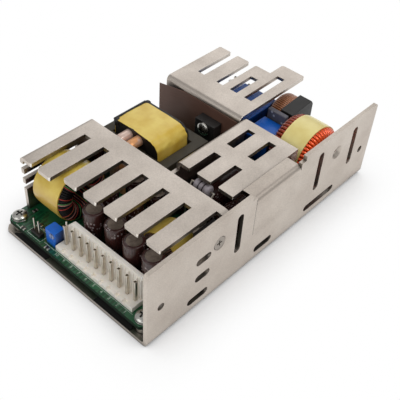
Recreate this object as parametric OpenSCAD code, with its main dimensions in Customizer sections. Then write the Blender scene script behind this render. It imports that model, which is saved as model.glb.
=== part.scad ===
// Open frame power supply on an L-shaped sheet chassis.
// X runs from the output end to the input end, Y away from the side wall, Z up.
// The origin is the centre of the footprint, on the underside of the base.

/* [Chassis] */
// Length, output end to input end
chassis_l = 127; // [126:0.5:130]
// Width, side wall to open edge
chassis_w = 76.2; // [76:0.1:78]
// Height of the side wall
chassis_h = 36; // [35:0.5:42]
// Thickness of the chassis sheet
sheet_t = 1.6; // [1.2:0.1:1.7]
// Outer radius of the folds in sheet metal
bend_r = 2.2; // [2:0.1:2.6]
// Diameter of the tapped mounting holes
mount_d = 3; // [2.5:0.1:3.5]
// Distance between the two mounting holes in the side wall
side_mount_pitch = 114.3; // [113:0.1:115]
// Height of the mounting holes in the side wall
side_mount_z = 16.5; // [16:0.1:17]
// Mounting hole pattern in the base, along the length
base_mount_x = 101.6; // [100:0.1:103]
// Mounting hole pattern in the base, across the width
base_mount_y = 50.8; // [50:0.1:51.5]
// How far the top edge tab is folded inwards
tab_reach = 6.8; // [5:0.1:6.9]
// Depth of the panel pressed into the wall
panel_depth = 0.7; // [0.4:0.1:0.8]

/* [Circuit board] */
// Board thickness
board_t = 1.6; // [1.2:0.2:1.6]
// Height of the standoffs below the board
standoff_h = 3.4; // [3:0.1:3.5]
// Thickness of the insulator sheet below the board
insulator_t = 0.3; // [0.2:0.1:0.5]
// Distance of the board screws from the chassis edges
board_screw_inset = 4.4; // [4.2:0.1:4.5]
// Screw shank diameter
screw_d = 3; // [2.9:0.1:3.1]
// Screw head diameter
screw_head_d = 5.6; // [5.2:0.1:5.8]

/* [Heatsinks] */
// Thickness of the heatsink sheet
sink_t = 1.6; // [1.2:0.1:1.7]
// Height of the heatsink tops above the base underside
sink_top = 32; // [31.8:0.1:32.4]
// Width of the cooling slots
slot_w = 3.5; // [3:0.1:4]
// Spacing of the slots in the output heatsink
slot_pitch = 10.16; // [10:0.02:10.2]

/* [Output connector] */
// Distance between pins
pin_pitch = 3.96; // [3.9:0.01:4]
// Number of pins
pin_count = 10; // [8:1:10]
// Side of the square pins
pin_w = 1.14; // [1:0.02:1.2]
// Height of the pin tips above the board
pin_h = 11.4; // [10:0.1:12]

/* [Parts on the board] */
// Diameter of the output capacitors
out_cap_d = 8; // [7:0.1:8.4]
// Height of the output capacitors
out_cap_h = 19; // [16:0.5:20]
// Diameter of the bulk capacitors
bulk_d = 14.4; // [13:0.1:14.4]
// Outer radius of the output choke
out_choke_r = 11.6; // [10.5:0.1:11.7]
// Outer radius of the power factor choke
pfc_choke_r = 13.8; // [12:0.1:13.9]
// Outer radius of the filter inductor by the wall
filter_r = 8.8; // [7.5:0.1:8.9]
// Length of the transformer core
core_l = 27.4; // [26.6:0.1:27.8]
// Width of the transformer core
core_w = 34.6; // [33.6:0.2:34.8]
// Thickness of the transformer core
core_t = 11; // [10:0.1:11.4]
// Thickness of the transformer winding around the core's middle leg
coil_build = 5.4; // [4:0.1:5.4]

/* [Hidden] */
$fn = 48;
gap = 0.3;                 // space between pieces that only stand side by side
through = 1;               // how far a cut runs past a face
thread_gap = 0.05;         // between a shank and its hole
base_z = sheet_t;
board_z = base_z + standoff_h;
board_top = board_z + board_t;
board_x0 = 0.8;
board_y0 = 2.6;
board_l = chassis_l - 2 * board_x0;
board_w = chassis_w - board_y0 - 0.8;
board_y1 = board_y0 + board_w;
screw_xs = [board_screw_inset, chassis_l - board_screw_inset];
screw_ys = [board_y0 + 3.4, board_y1 - 3.4];
washer_t = 0.5;
washer_d = 6;
head_h = 2;
standoff_d = 5.4;
insulator_y0 = 8.3;
insulator_y1 = chassis_w - 5.5;
insulator_bay = 26.3;      // length of the cut-outs in its ends
sink_z = sink_top - sink_t;
// panel and tab in the side wall
tab_x0 = 52.4;
tab_x1 = 77.5;
tab_top = 33;
relief_w = 2.5;
relief_z = 34;
panel_x1 = 76;
panel_z0 = 14.5;
panel_slope = 2.6;
wall_screw_x = 33.9;
wall_screw_z = 25.4;
csk_d = 6;
// output heatsink
out_x1 = 42.4;
out_y0 = 6.9;
out_y1 = 74.6;
out_tip = 12.8;
out_long_tip = 9.6;
out_slot_end = 34.3;
out_slot_y = 15.5;
out_slots = 6;
neck_w = 3.3;
neck_r = 4.4;              // the neck is folded down round a wider radius
finger_r = 0.65;
flange_x0 = 28.6;
flange_z0 = 20;
// centre heatsink
mid_x0 = 48.2;
mid_x1 = 85.4;
mid_y0 = 7.5;
mid_y1 = 34.2;
mid_slot_ys = [16.1, 26.2];
mid_slot_end = 61.5;
mid_window = [68.3, 80.9];
mid_ext_x = 43.6;
mid_ext_top = 28.4;
// input heatsink
in_x0 = 83.8;
in_y0 = 34.5;
in_y1 = 74.4;
in_tip = 117.2;
in_long_tip = 125.8;
in_slot_ys = [55.8, 66.1];
in_slot_end = 95.8;
in_window_y = [40.8, 48.4];
in_window_x1 = [117.7, 109.4];
in_step_y = 46.3;
// output connector
header_x = 6.8;
header_y0 = 12.3;
header_w = 7;
header_base_h = 2.2;
header_wall_h = 12.9;
header_wall_x = [8.6, 10.1];
pin_foot = 0.6;            // how far the pins stand below the board
// capacitors
cap_xs = [15, 15.4, 14.6, 14.4];
cap_ys = [41.4, 30.8, 20.9, 11.6];
back_cap_xy = [[25, 45.5], [26.6, 34.6], [36.6, 32.4], [36.6, 43]];
can_wall = 0.25;
// transformer
core_x = 58.1;
core_y = 56.8;
core_z = 19.1;
leg_w = 10.4;
side_leg_w = 4.4;
yoke = 5.1;
bobbin_t = 0.7;
bobbin_flange_t = 1;
flange_lip = 0.2;          // how far the flanges stand past the winding
coil_corner_r = 5;
coil_l = core_l - 2 * (yoke + gap / 3 + bobbin_flange_t);
coil_h = core_t + 2 * bobbin_t + 2 * (coil_build + 0.4);
coil_w = leg_w + 2 * bobbin_t + 2 * coil_build;
lead_d = 4.2;
lead_ys = [core_y - 1.6, core_y + 3.7];
lead_bend_r = 4;
lead_x = core_x - core_l / 2 - lead_d / 2 - 0.4;
lead_z = core_z + core_t / 2 + lead_d / 2 + 1.3;
// power transistor against the input heatsink
film_t = 0.3;
tr_w = 10.2;
tr_h = 15.6;
tr_t = 4.6;
tr_hole_drop = 2.9;
tr_y = 48.2;
tr_hole_z = 22;
film_h = 22.9;
film_flat_y = 64;          // from here the film stands away from the heatsink
film_end = [80.6, 75.3];
// chokes
out_choke_x = 21.3;
out_choke_y = 62.75;
out_choke_w = 18;
out_tape_w = 13.5;
pfc_x = chassis_l - 28.8;
pfc_y = 13.1;
pfc_w = 18.4;
pfc_tape_y = 12.6;
pfc_tape_w = 13.2;
filter_x = 28;
filter_y = 17.2;
filter_w = 15.6;
filter_tape_w = 10.4;
tape_t = 0.5;

metal = [0.77, 0.73, 0.69];
tin = [0.8, 0.8, 0.79];
black = [0.07, 0.065, 0.07];
tape = [0.93, 0.79, 0.36];
sleeve = [0.2, 0.14, 0.15];
blue = [0.05, 0.25, 0.62];
ferrite = [0.16, 0.15, 0.14];

// Moves from a corner of the footprint to the part's origin.
module place() translate([-chassis_l / 2, -chassis_w / 2, 0]) children();

// Stands a flat outline up in YZ and draws it along +X.
module along_x(len) rotate([90, 0, 90]) linear_extrude(len) children();

// Stands a flat outline up in XZ and draws it along +Y.
module along_y(len) translate([0, len, 0]) rotate([90, 0, 0]) linear_extrude(len) children();

// Angle section with its outer corner at the origin and legs along +X and +Y.
module angle_section(w, h, t, r) {
  translate([r, 0]) square([w - r, t]);
  if (h > r) translate([0, r]) square([t, h - r]);
  intersection() {
    translate([r, r]) difference() { circle(r); circle(r - t); }
    square(r);
  }
}

// Slot with round ends, centred at the origin.
module obround(w, h) {
  d = min(w, h);
  square([w > h ? w - d : w, w > h ? h : h - d], center = true);
  for (s = [-1, 1]) translate(w > h ? [s * (w - d) / 2, 0] : [0, s * (h - d) / 2]) circle(d = d);
}

// Rectangle with its four corners rounded.
module rounded(size, r) {
  translate([r, 0]) square([size[0] - 2 * r, size[1]]);
  translate([0, r]) square([size[0], size[1] - 2 * r]);
  for (x = [r, size[0] - r], y = [r, size[1] - r]) translate([x, y]) circle(r);
}

// Tongue of sheet from x_root to a tip with rounded corners.
module tongue(x_root, x_tip, y0, y1, r = 1) {
  side = sign(x_tip - x_root);
  translate([min(x_root, x_tip - side * 2 * r), y0]) square([abs(x_tip - x_root) - 2 * r + 0.01, y1 - y0]);
  translate([side > 0 ? x_tip - 3 * r : x_tip, y0]) rounded([3 * r, y1 - y0], r);
}

// Cut through the side wall at x, z.
module wall_cut(x, z) translate([x, -through, z]) along_y(sheet_t + panel_depth + 2 * through) children();

// Pressed panel as a wedge-edged pad, depth deep, with its face at y.
module panel_pad(y) translate([0, y, 0]) intersection() {
  translate([0, 0, panel_z0]) linear_extrude(tab_top - bend_r - panel_z0)
    polygon([[tab_x0, 0], [tab_x0, panel_depth], [panel_x1 - panel_slope, panel_depth], [panel_x1, 0]]);
  translate([tab_x0, 0, 0]) along_x(panel_x1 - tab_x0)
    polygon([[0, panel_z0], [panel_depth, panel_z0 + panel_slope], [panel_depth, chassis_h], [0, chassis_h]]);
}

module chassis() color(metal) place() difference() {
  union() {
    difference() {
      along_x(chassis_l) angle_section(chassis_w, chassis_h, sheet_t, bend_r);
      translate([tab_x0 - relief_w, -through, relief_z])
        cube([tab_x1 - tab_x0 + 2 * relief_w, sheet_t + 2 * through, chassis_h]);
      translate([tab_x0, -through, tab_top - bend_r])
        cube([tab_x1 - tab_x0, sheet_t + 2 * through, chassis_h]);
      panel_pad(-0.001);
      for (x = [0, chassis_l]) translate([x, -through, chassis_h]) rotate([-90, 0, 0])
        cylinder(h = sheet_t + 2 * through, r = 0.8, $fn = 4);
      for (x = [0, chassis_l]) translate([x, chassis_w, -through])
        cylinder(h = sheet_t + 2 * through, r = 1.6, $fn = 4);
    }
    panel_pad(sheet_t);
    translate([tab_x0, 0, tab_top]) mirror([0, 0, 1]) along_x(tab_x1 - tab_x0)
      angle_section(tab_reach, bend_r, sheet_t, bend_r);
  }
  for (s = [-1, 1]) {
    wall_cut(chassis_l / 2 + s * side_mount_pitch / 2, side_mount_z) circle(d = mount_d);
    for (t = [-1, 1]) translate([chassis_l / 2 + s * base_mount_x / 2,
      chassis_w / 2 + t * base_mount_y / 2, -through]) cylinder(h = sheet_t + 2 * through, d = mount_d);
  }
  wall_cut(26.1, 23.7) obround(7.2, 3);
  wall_cut(26, 15.6) obround(7.2, 3);
  for (s = [[24.2, 10.2], [59.6, 10.2], [94.9, 19.8]]) wall_cut(s[0], 6) obround(s[1], 3);
  for (x = [44, 90.5, 113]) wall_cut(x, 22.5) obround(3.1, 18.4);
  wall_cut(wall_screw_x, wall_screw_z) circle(d = screw_d + 2 * thread_gap);
  wall_cut(101.9, wall_screw_z) circle(d = screw_d + 2 * thread_gap);
  for (x = [wall_screw_x, 101.9]) translate([x, 0, wall_screw_z]) rotate([-90, 0, 0])
    cylinder(h = (csk_d - screw_d) / 2, d1 = csk_d, d2 = screw_d);
}

module insulator_sheet() color(black) place() difference() {
  translate([gap, insulator_y0, base_z]) cube([chassis_l - 2 * gap, insulator_y1 - insulator_y0, insulator_t]);
  for (x = [gap - through, chassis_l - gap - 8]) translate([x, (insulator_y0 + insulator_y1 - insulator_bay) / 2,
    base_z - through]) cube([8 + through, insulator_bay, insulator_t + 2 * through]);
  for (x = screw_xs, y = screw_ys) translate([x, y, base_z - through])
    cylinder(h = insulator_t + 2 * through, d = standoff_d + 2);
  for (s = [-1, 1], t = [-1, 1]) translate([chassis_l / 2 + s * base_mount_x / 2,
    chassis_w / 2 + t * base_mount_y / 2, base_z - through]) cylinder(h = insulator_t + 2 * through, d = mount_d + 3);
}

module board_standoffs() color(tin) place() for (x = screw_xs, y = screw_ys)
  translate([x, y, base_z]) difference() {
    cylinder(h = standoff_h, d = standoff_d);
    translate([0, 0, -through]) cylinder(h = standoff_h + 2 * through, d = screw_d + 2 * thread_gap);
  }

module circuit_board() color([0.05, 0.3, 0.17]) place() difference() {
  translate([board_x0, board_y0, board_z]) linear_extrude(board_t) difference() {
    square([board_l, board_w]);
    for (x = [0, board_l], y = [0, board_w]) translate([x, y]) circle(r = 2, $fn = 4);
  }
  for (x = screw_xs, y = screw_ys) translate([x, y, board_z - through])
    cylinder(h = board_t + 2 * through, d = screw_d + 0.4);
}

module screw_washers() color(tin) place() for (x = screw_xs, y = screw_ys)
  translate([x, y, board_top]) difference() {
    cylinder(h = washer_t, d = washer_d);
    translate([0, 0, -through]) cylinder(h = washer_t + 2 * through, d = screw_d + 0.4);
  }

// Pan head screw along -Z, its head's underside at the origin.
module pan_screw(len) {
  difference() {
    rotate_extrude() {
      square([screw_head_d / 2, head_h * 0.5]);
      intersection() {
        translate([0, head_h * 0.5 - (screw_head_d * screw_head_d / (8 * head_h * 0.5) - head_h * 0.25)])
          circle(r = screw_head_d * screw_head_d / (8 * head_h * 0.5) + head_h * 0.25);
        translate([0, head_h * 0.5]) square([screw_head_d / 2, head_h * 0.5]);
      }
    }
    for (a = [0, 90]) translate([0, 0, head_h]) rotate(a) cube([screw_head_d * 0.55, 0.7, head_h], center = true);
  }
  translate([0, 0, -len]) cylinder(h = len, d = screw_d);
}

module board_screws() color(tin) place() for (x = screw_xs, y = screw_ys)
  translate([x, y, board_top + washer_t]) pan_screw(washer_t + board_t + standoff_h - 0.2);

module output_heatsink() color(metal) place() difference() {
  union() {
    translate([0, 0, sink_z]) linear_extrude(sink_t) {
      translate([out_slot_end, out_y0]) square([out_x1 - out_slot_end, out_y1 - out_y0 - bend_r]);
      for (i = [0 : out_slots]) {
        y0 = i == 0 ? out_y0 : out_slot_y + (i - 1) * slot_pitch + slot_w / 2;
        y1 = i == out_slots ? out_y1 - bend_r - 0.4 : out_slot_y + i * slot_pitch - slot_w / 2;
        tongue(out_slot_end, i > out_slots - 2 ? out_long_tip : out_tip, y0, y1, finger_r);
      }
      translate([out_x1 - neck_w, sheet_t + neck_r]) square([neck_w, out_y0]);
    }
    // outer wall, folded down to the board
    translate([out_long_tip, out_y1, sink_top]) mirror([0, 1, 0]) mirror([0, 0, 1])
      along_x(out_x1 - out_long_tip) angle_section(bend_r + 1, sink_top - board_top, sink_t, bend_r);
    // neck over the gap and flange behind the side wall
    translate([out_x1 - neck_w, sheet_t, sink_top]) mirror([0, 0, 1])
      along_x(neck_w) angle_section(neck_r + 1, sink_top - flange_z0, sink_t, neck_r);
    translate([flange_x0, sheet_t, flange_z0]) {
      cube([out_x1 - flange_x0, sink_t, sink_top - neck_r - flange_z0 - 0.6]);
      cube([out_x1 - neck_w - flange_x0 - 0.5, sink_t, sink_top - 3 - flange_z0]);
    }
  }
  for (i = [0 : 2]) translate([0, out_y1 - 2 * sink_t, 16.8 + i * 4.8])
    cube([out_slot_end, 3 * sink_t, 2.5]);
  translate([wall_screw_x, sheet_t - through, wall_screw_z]) rotate([-90, 0, 0])
    cylinder(h = sink_t + 2 * through, d = screw_d + 2 * thread_gap);
}

module center_heatsink() color(metal) place() {
  translate([0, 0, sink_z]) linear_extrude(sink_t) difference() {
    union() {
      translate([mid_slot_end, mid_y0]) square([mid_x1 - mid_slot_end, mid_y1 - mid_y0 - bend_r]);
      for (i = [0 : 2]) tongue(mid_slot_end, mid_x0,
        i == 0 ? mid_y0 : mid_slot_ys[i - 1] + slot_w / 2,
        i == 2 ? mid_y1 - bend_r : mid_slot_ys[i] - slot_w / 2, 0.6);
    }
    for (y = mid_slot_ys) translate([mid_window[0], y - slot_w / 2])
      square([mid_window[1] - mid_window[0], slot_w]);
  }
  translate([mid_x0, mid_y1, sink_top]) mirror([0, 1, 0]) mirror([0, 0, 1])
    along_x(mid_x1 - mid_x0) angle_section(bend_r + 0.2, sink_top - board_top, sink_t, bend_r);
  translate([mid_ext_x, mid_y1 - sink_t, board_top])
    cube([mid_x0 - mid_ext_x + 0.2, sink_t, mid_ext_top - board_top]);
  // ear folded down beside the side wall
  translate([mid_x1 - 4, mid_y0, sink_top]) mirror([0, 0, 1])
    along_x(4) angle_section(bend_r + 0.2, 5, sink_t, bend_r);
}

module input_heatsink() color(metal) place() {
  translate([in_x0, in_y0, sink_top]) mirror([0, 0, 1]) along_y(in_y1 - in_y0)
    angle_section(in_slot_end - in_x0, sink_top - board_top, sink_t, bend_r);
  translate([0, 0, sink_z]) linear_extrude(sink_t) difference() {
    union() {
      tongue(in_slot_end - 0.2, in_tip, in_slot_ys[1] + slot_w / 2, in_y1, 0.8);
      tongue(in_slot_end - 0.2, in_tip, in_slot_ys[0] + slot_w / 2, in_slot_ys[1] - slot_w / 2, 0.8);
      tongue(in_slot_end - 0.2, in_tip, in_step_y - 2, in_slot_ys[0] - slot_w / 2, 0.8);
      tongue(in_slot_end - 0.2, in_long_tip, in_y0, in_step_y, 1);
    }
    for (i = [0, 1]) translate([in_slot_end, in_window_y[i] - slot_w / 2])
      square([in_window_x1[i] - in_slot_end, slot_w]);
  }
}

module wall_screw() color(tin) place() translate([wall_screw_x, 0, wall_screw_z]) rotate([-90, 0, 0]) difference() {
  union() {
    cylinder(h = (csk_d - screw_d) / 2, d1 = csk_d, d2 = screw_d);
    cylinder(h = 10.4, d = screw_d);
  }
  for (a = [0, 90]) rotate(a) cube([3, 0.6, 1.6], center = true);
}

module wall_screw_nut() color(tin) place()
  translate([wall_screw_x, sheet_t + sink_t + 4.5, wall_screw_z]) rotate([-90, 0, 0]) difference() {
    cylinder(h = 2.2, d = 6, $fn = 6);
    translate([0, 0, -through]) cylinder(h = 2.2 + 2 * through, d = screw_d + 2 * thread_gap);
  }

// TO-220 style package standing on its leads: back face at y = 0, hole at the origin's x and z.
module upright_package(w, h, t, hole_drop, lead_n, lead_pitch, foot_z) {
  difference() {
    translate([-w / 2, 0, hole_drop - h]) cube([w, t, h]);
    translate([0, -through, 0]) rotate([-90, 0, 0]) cylinder(h = t + 2 * through, d = screw_d + 2 * thread_gap);
  }
  for (i = [0 : lead_n - 1])
    translate([(i - (lead_n - 1) / 2) * lead_pitch - 0.4, t / 2, foot_z]) cube([0.8, 0.6, hole_drop - h - foot_z]);
}

module output_rectifier() color(black) place() translate([wall_screw_x, sheet_t + sink_t, wall_screw_z])
  upright_package(10.2, 15.6, 4.5, 2.8, 3, 2.54, board_top - wall_screw_z);

module power_transistor() color(black) place()
  translate([in_x0 - film_t, tr_y, tr_hole_z]) rotate(90)
    upright_package(tr_w, tr_h, tr_t, tr_hole_drop, 3, 2.54, board_top - tr_hole_z);

module transistor_screw() color(tin) place()
  translate([in_x0 - film_t - tr_t, tr_y, tr_hole_z]) rotate([0, -90, 0]) pan_screw(tr_t);

module insulating_sheet() color([0.3, 0.22, 0.2]) place() difference() {
  translate([0, 0, board_top]) linear_extrude(film_h) polygon([[in_x0 - film_t, in_y0 + 1], [in_x0, in_y0 + 1],
    [in_x0, film_flat_y], [film_end[0] + film_t, film_end[1]], [film_end[0], film_end[1]],
    [in_x0 - film_t, film_flat_y]]);
  translate([in_x0 - 2, tr_y, tr_hole_z]) rotate([0, 90, 0]) cylinder(h = 4, d = screw_d + 2 * thread_gap);
}

// Wound ring lying around an axis along +Y: middle at the origin, rounded section, open hole.
module wound_ring(r, hole_r, w, round_r) rotate([90, 0, 0]) rotate_extrude()
  translate([hole_r, -w / 2]) rounded([r - hole_r, w], round_r);

// Band of tape around a wound ring.
module ring_band(r, t, w) rotate([90, 0, 0]) difference() {
  cylinder(h = w, r = r, center = true);
  cylinder(h = w + 2 * through, r = r - t, center = true);
}

module output_choke_winding() color([0.13, 0.09, 0.07]) place()
  translate([out_choke_x, out_choke_y, board_top + out_choke_r])
    wound_ring(out_choke_r - tape_t, 4.4, out_choke_w, 3.2);
module output_choke_tape() color(tape) place()
  translate([out_choke_x, out_choke_y, board_top + out_choke_r]) ring_band(out_choke_r, tape_t, out_tape_w);

module pfc_choke_winding() color([0.72, 0.2, 0.08]) place()
  translate([pfc_x, pfc_y, board_top + pfc_choke_r]) wound_ring(pfc_choke_r - tape_t, 5.2, pfc_w, 3.6);
module pfc_choke_tape() color(tape) place()
  translate([pfc_x, pfc_tape_y, board_top + pfc_choke_r]) ring_band(pfc_choke_r, tape_t, pfc_tape_w);

module filter_inductor_winding() color([0.1, 0.08, 0.07]) place()
  translate([filter_x, filter_y, board_top + filter_r]) rotate(90)
    wound_ring(filter_r - tape_t, 3, filter_w, 2.6);
module filter_inductor_tape() color(tape) place()
  translate([filter_x, filter_y, board_top + filter_r]) rotate(90) ring_band(filter_r, tape_t, filter_tape_w);

// One half of the core: yoke, middle leg and two outer legs, open towards +X.
module half_core() linear_extrude(core_t) {
  translate([-core_l / 2, -core_w / 2]) square([yoke, core_w]);
  for (y = [-core_w / 2, core_w / 2 - side_leg_w]) translate([-core_l / 2, y]) square([core_l / 2, side_leg_w]);
  translate([-core_l / 2, -leg_w / 2]) square([core_l / 2, leg_w]);
}
module transformer_core() color(ferrite) place() translate([core_x, core_y, core_z - core_t / 2]) {
  half_core();
  mirror([1, 0, 0]) half_core();
}

// Outline of the wound coil grown by lip: wide corners towards -Y, tight ones towards +Y.
module coil_outline(lip) translate([-coil_w / 2 - lip, -coil_h / 2 - lip]) {
  rounded([coil_w + 2 * lip, coil_h + 2 * lip], coil_corner_r);
  translate([coil_w / 2, 0]) rounded([coil_w / 2 + 2 * lip, coil_h + 2 * lip], 1.5);
}
module transformer_bobbin() color(black) place() translate([core_x, core_y, core_z]) {
  difference() {
    union() {
      for (s = [-1, 1]) translate([s * (coil_l + bobbin_flange_t) / 2 - bobbin_flange_t / 2, 0, 0])
        along_x(bobbin_flange_t) coil_outline(flange_lip);
      translate([-coil_l / 2, -leg_w / 2 - bobbin_t, -core_t / 2 - bobbin_t])
        cube([coil_l, leg_w + 2 * bobbin_t, core_t + 2 * bobbin_t]);
    }
    translate([-core_l, -leg_w / 2, -core_t / 2]) cube([2 * core_l, leg_w, core_t]);
    for (y = lead_ys) translate([-core_l / 2, y - core_y, lead_z - core_z]) rotate([0, 90, 0])
      cylinder(h = core_l / 2, d = lead_d + 2 * thread_gap);
  }
  // pin rails under the yokes, standing on the board
  for (s = [-1, 1]) translate([s > 0 ? coil_l / 2 + 0.2 : -core_l / 2 + 0.6, -14, board_top - core_z])
    cube([core_l / 2 - coil_l / 2 - 0.8, 28, core_z - core_t / 2 - board_top]);
}
module transformer_winding() color(tape) place() translate([core_x - coil_l / 2, core_y, core_z]) difference() {
  along_x(coil_l) coil_outline(0);
  translate([-through, -leg_w / 2 - bobbin_t, -core_t / 2 - bobbin_t])
    cube([coil_l + 2 * through, leg_w + 2 * bobbin_t, core_t + 2 * bobbin_t]);
}
// Two bundles of wire: out of the winding over the yoke, round a bend and down to the board.
module transformer_leads() color([0.8, 0.5, 0.36]) place() for (y = lead_ys) translate([lead_x, y, 0]) {
  translate([0, 0, board_top]) cylinder(h = lead_z - lead_bend_r - board_top, d = lead_d);
  translate([lead_bend_r, 0, lead_z - lead_bend_r]) intersection() {
    rotate([90, 0, 0]) rotate_extrude() translate([lead_bend_r, 0]) circle(d = lead_d);
    translate([-lead_bend_r - lead_d, -lead_d, 0]) cube([lead_bend_r + lead_d, 2 * lead_d, lead_bend_r + lead_d]);
  }
  translate([lead_bend_r, 0, lead_z]) rotate([0, 90, 0])
    cylinder(h = core_x - coil_l / 2 - lead_x - lead_bend_r, d = lead_d);
}

// Upright electrolytic capacitor in a sleeve, standing on its base.
module can(d, h) rotate_extrude() {
  difference() {
    translate([0, 0]) square([d / 2, h]);
    translate([d / 2, 2.2]) circle(r = 0.5);
    translate([0, h - 0.5]) square([d / 2 - 1, 0.5 + through]);
  }
}
module output_capacitors() color(sleeve) place()
  for (i = [0 : 3]) translate([cap_xs[i], cap_ys[i], board_top]) can(out_cap_d, out_cap_h);
module rear_output_capacitors() color(sleeve) place()
  for (p = back_cap_xy) translate([p[0], p[1], board_top]) can(out_cap_d, out_cap_h);
bulk_x = mid_ext_x + 3.4;
bulk_ys = [10.1, 24.95];
bulk_l = pfc_x - pfc_choke_r - bulk_x - 6.4;
module bulk_capacitors() color(sleeve) place()
  for (y = bulk_ys) translate([bulk_x, y, board_top + bulk_d / 2]) rotate([0, 90, 0]) can(bulk_d, bulk_l);

header_end = 1.95;          // from the last pin to the end of the base
header_len = (pin_count - 1) * pin_pitch + 2 * header_end;
header_slope = [4.1, 4.6];  // corner cut off the far end of the wall
module header_housing() color([0.9, 0.88, 0.83]) place() difference() {
  union() {
    translate([header_x - header_w / 2, header_y0 - header_end, board_top]) cube([header_w, header_len, header_base_h]);
    translate([header_wall_x[0], header_y0 - header_end, board_top]) along_x(header_wall_x[1] - header_wall_x[0])
      polygon([[0.45, 0], [header_len, 0], [header_len, header_wall_h - header_slope[1]],
        [header_len - header_slope[0], header_wall_h], [0.45, header_wall_h]]);
  }
  for (i = [0 : pin_count - 1]) translate([header_x, header_y0 + i * pin_pitch, board_top + header_base_h / 2])
    cube([pin_w, pin_w, header_base_h + 2 * through], center = true);
  for (i = [0 : pin_count - 2]) translate([header_x - header_w / 2 - through, header_y0 + (i + 0.5) * pin_pitch - 0.8,
    board_top + 1]) cube([1.6 + through, 1.6, header_base_h]);
}
module header_pins() color(tin) place() for (i = [0 : pin_count - 1])
  translate([header_x - pin_w / 2, header_y0 + i * pin_pitch - pin_w / 2, board_top])
    cube([pin_w, pin_w, pin_h]);

trim_at = [3.6, header_y0 + header_len - header_end + 0.4];
trim_size = [4.6, 5.3, 7];
trim_r = 1.1;
trim_rotor = [1.35, 5.5];   // its middle on the face, from the body's near bottom corner
trim_sink = 1.2;
trim_proud = 0.4;
module trimmer_body() color(blue) place() translate([trim_at[0], trim_at[1], board_top]) difference() {
  linear_extrude(trim_size[2]) rounded([trim_size[0], trim_size[1]], 0.5);
  translate([-through, trim_rotor[0], trim_rotor[1]]) rotate([0, 90, 0])
    cylinder(h = trim_sink + through, r = trim_r + thread_gap);
}
module trimmer_rotor() color([0.85, 0.85, 0.82]) place()
  translate([trim_at[0] - trim_proud, trim_at[1] + trim_rotor[0], board_top + trim_rotor[1]]) rotate([0, 90, 0])
    difference() {
      cylinder(h = trim_proud + trim_sink, r = trim_r);
      cube([2 * trim_r + through, 0.45, 1], center = true);
    }

jumper_at = [2.3, 57.8];
jumper_size = [2.4, 5.1, 1.8];
jumper_pin_w = 0.64;
jumper_pin_h = 7.8;
jumper_pitch = 2.54;
module jumper_places() for (s = [-1, 1])
  translate([jumper_at[0] + jumper_size[0] / 2, jumper_at[1] + jumper_size[1] / 2 + s * jumper_pitch / 2, board_top])
    children();
module jumper_base() color(black) place() difference() {
  translate([jumper_at[0], jumper_at[1], board_top])
    linear_extrude(jumper_size[2]) rounded([jumper_size[0], jumper_size[1]], 0.4);
  jumper_places() cube([jumper_pin_w, jumper_pin_w, 3 * jumper_size[2]], center = true);
}
module jumper_pins() color(tin) place() jumper_places()
  translate([-jumper_pin_w / 2, -jumper_pin_w / 2, 0]) cube([jumper_pin_w, jumper_pin_w, jumper_pin_h]);

film_a = [24.3, 18, 17.4];
film_b = [14.4, 12.6, 17.4];
film_a_at = [89.2, 38];
film_b_at = [87, pfc_y + pfc_w / 2 + gap];
block_size = [2.2, 9.4, 21.4];
block_at = [film_b_at[0] + film_b[0] + gap, 25.2];
module film_box(at, size) translate([at[0], at[1], board_top])
  linear_extrude(size[2]) rounded([size[0], size[1]], 0.6);
module film_capacitor_a() color(blue) place() film_box(film_a_at, film_a);
module film_capacitor_b() color(blue) place() film_box(film_b_at, film_b);
module standby_block() color([0.2, 0.21, 0.23]) place() film_box(block_at, block_size);

// line choke: wound ring on a foot behind a plate
ring_r = 9.6;
ring_w = 7.6;
ring_x = 114;
plate_x = [block_at[0] + block_size[0] + 2 * gap, 118.4];
plate_y = 24;
plate_t = 6;
plate_h = 22.7;
foot_h = 2;
module line_choke_carrier() color(black) place() translate([0, plate_y, board_top]) {
  along_y(plate_t) polygon([[plate_x[0], 0], [plate_x[1], 0], [plate_x[1], plate_h - 1.6],
    [plate_x[1] - 1.2, plate_h], [plate_x[0], plate_h - 0.9]]);
  translate([ring_x - 8.4, plate_t - gap, 0]) cube([16.8, ring_w + gap, foot_h]);
}
module line_choke_winding() color([0.5, 0.25, 0.16]) place()
  translate([ring_x, plate_y + plate_t + gap / 2 + ring_w / 2, board_top + foot_h + ring_r])
    wound_ring(ring_r, 4, ring_w, 2.4);

bridge_hole_z = 22.6;
module bridge_rectifier() color(black) place() translate([in_x0 + sink_t, 65.7, bridge_hole_z]) rotate(-90)
  upright_package(16.8, 13, 3.4, 4, 4, 4.2, board_top - bridge_hole_z);

inlet_size = [7, 11];
inlet_at = [chassis_l - 9.6, screw_ys[1] - washer_d / 2 - gap - inlet_size[1]];
inlet_pin_x = 3.6;
module inlet_places() for (i = [-1 : 1])
  translate([inlet_at[0] + inlet_pin_x, inlet_at[1] + inlet_size[1] / 2 + i * pin_pitch, board_top]) children();
module inlet_housing() color([0.9, 0.88, 0.83]) place() difference() {
  translate([inlet_at[0], inlet_at[1], board_top]) {
    cube([inlet_size[0], inlet_size[1], header_base_h]);
    translate([0, 0.6, 0]) cube([1.5, inlet_size[1] - 1.2, 10.8]);
  }
  inlet_places() cube([pin_w, pin_w, 3 * header_base_h], center = true);
}
module inlet_pins() color(tin) place() inlet_places()
  translate([-pin_w / 2, -pin_w / 2, 0]) cube([pin_w, pin_w, pin_h]);

fuse_d = 5.2;
fuse_y0 = 38.2;
module fuse() color([0.85, 0.84, 0.8]) place() translate([chassis_l - 7.6, fuse_y0, board_top + fuse_d / 2])
  rotate([-90, 0, 0]) cylinder(h = inlet_at[1] - gap - fuse_y0, d = fuse_d);

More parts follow.
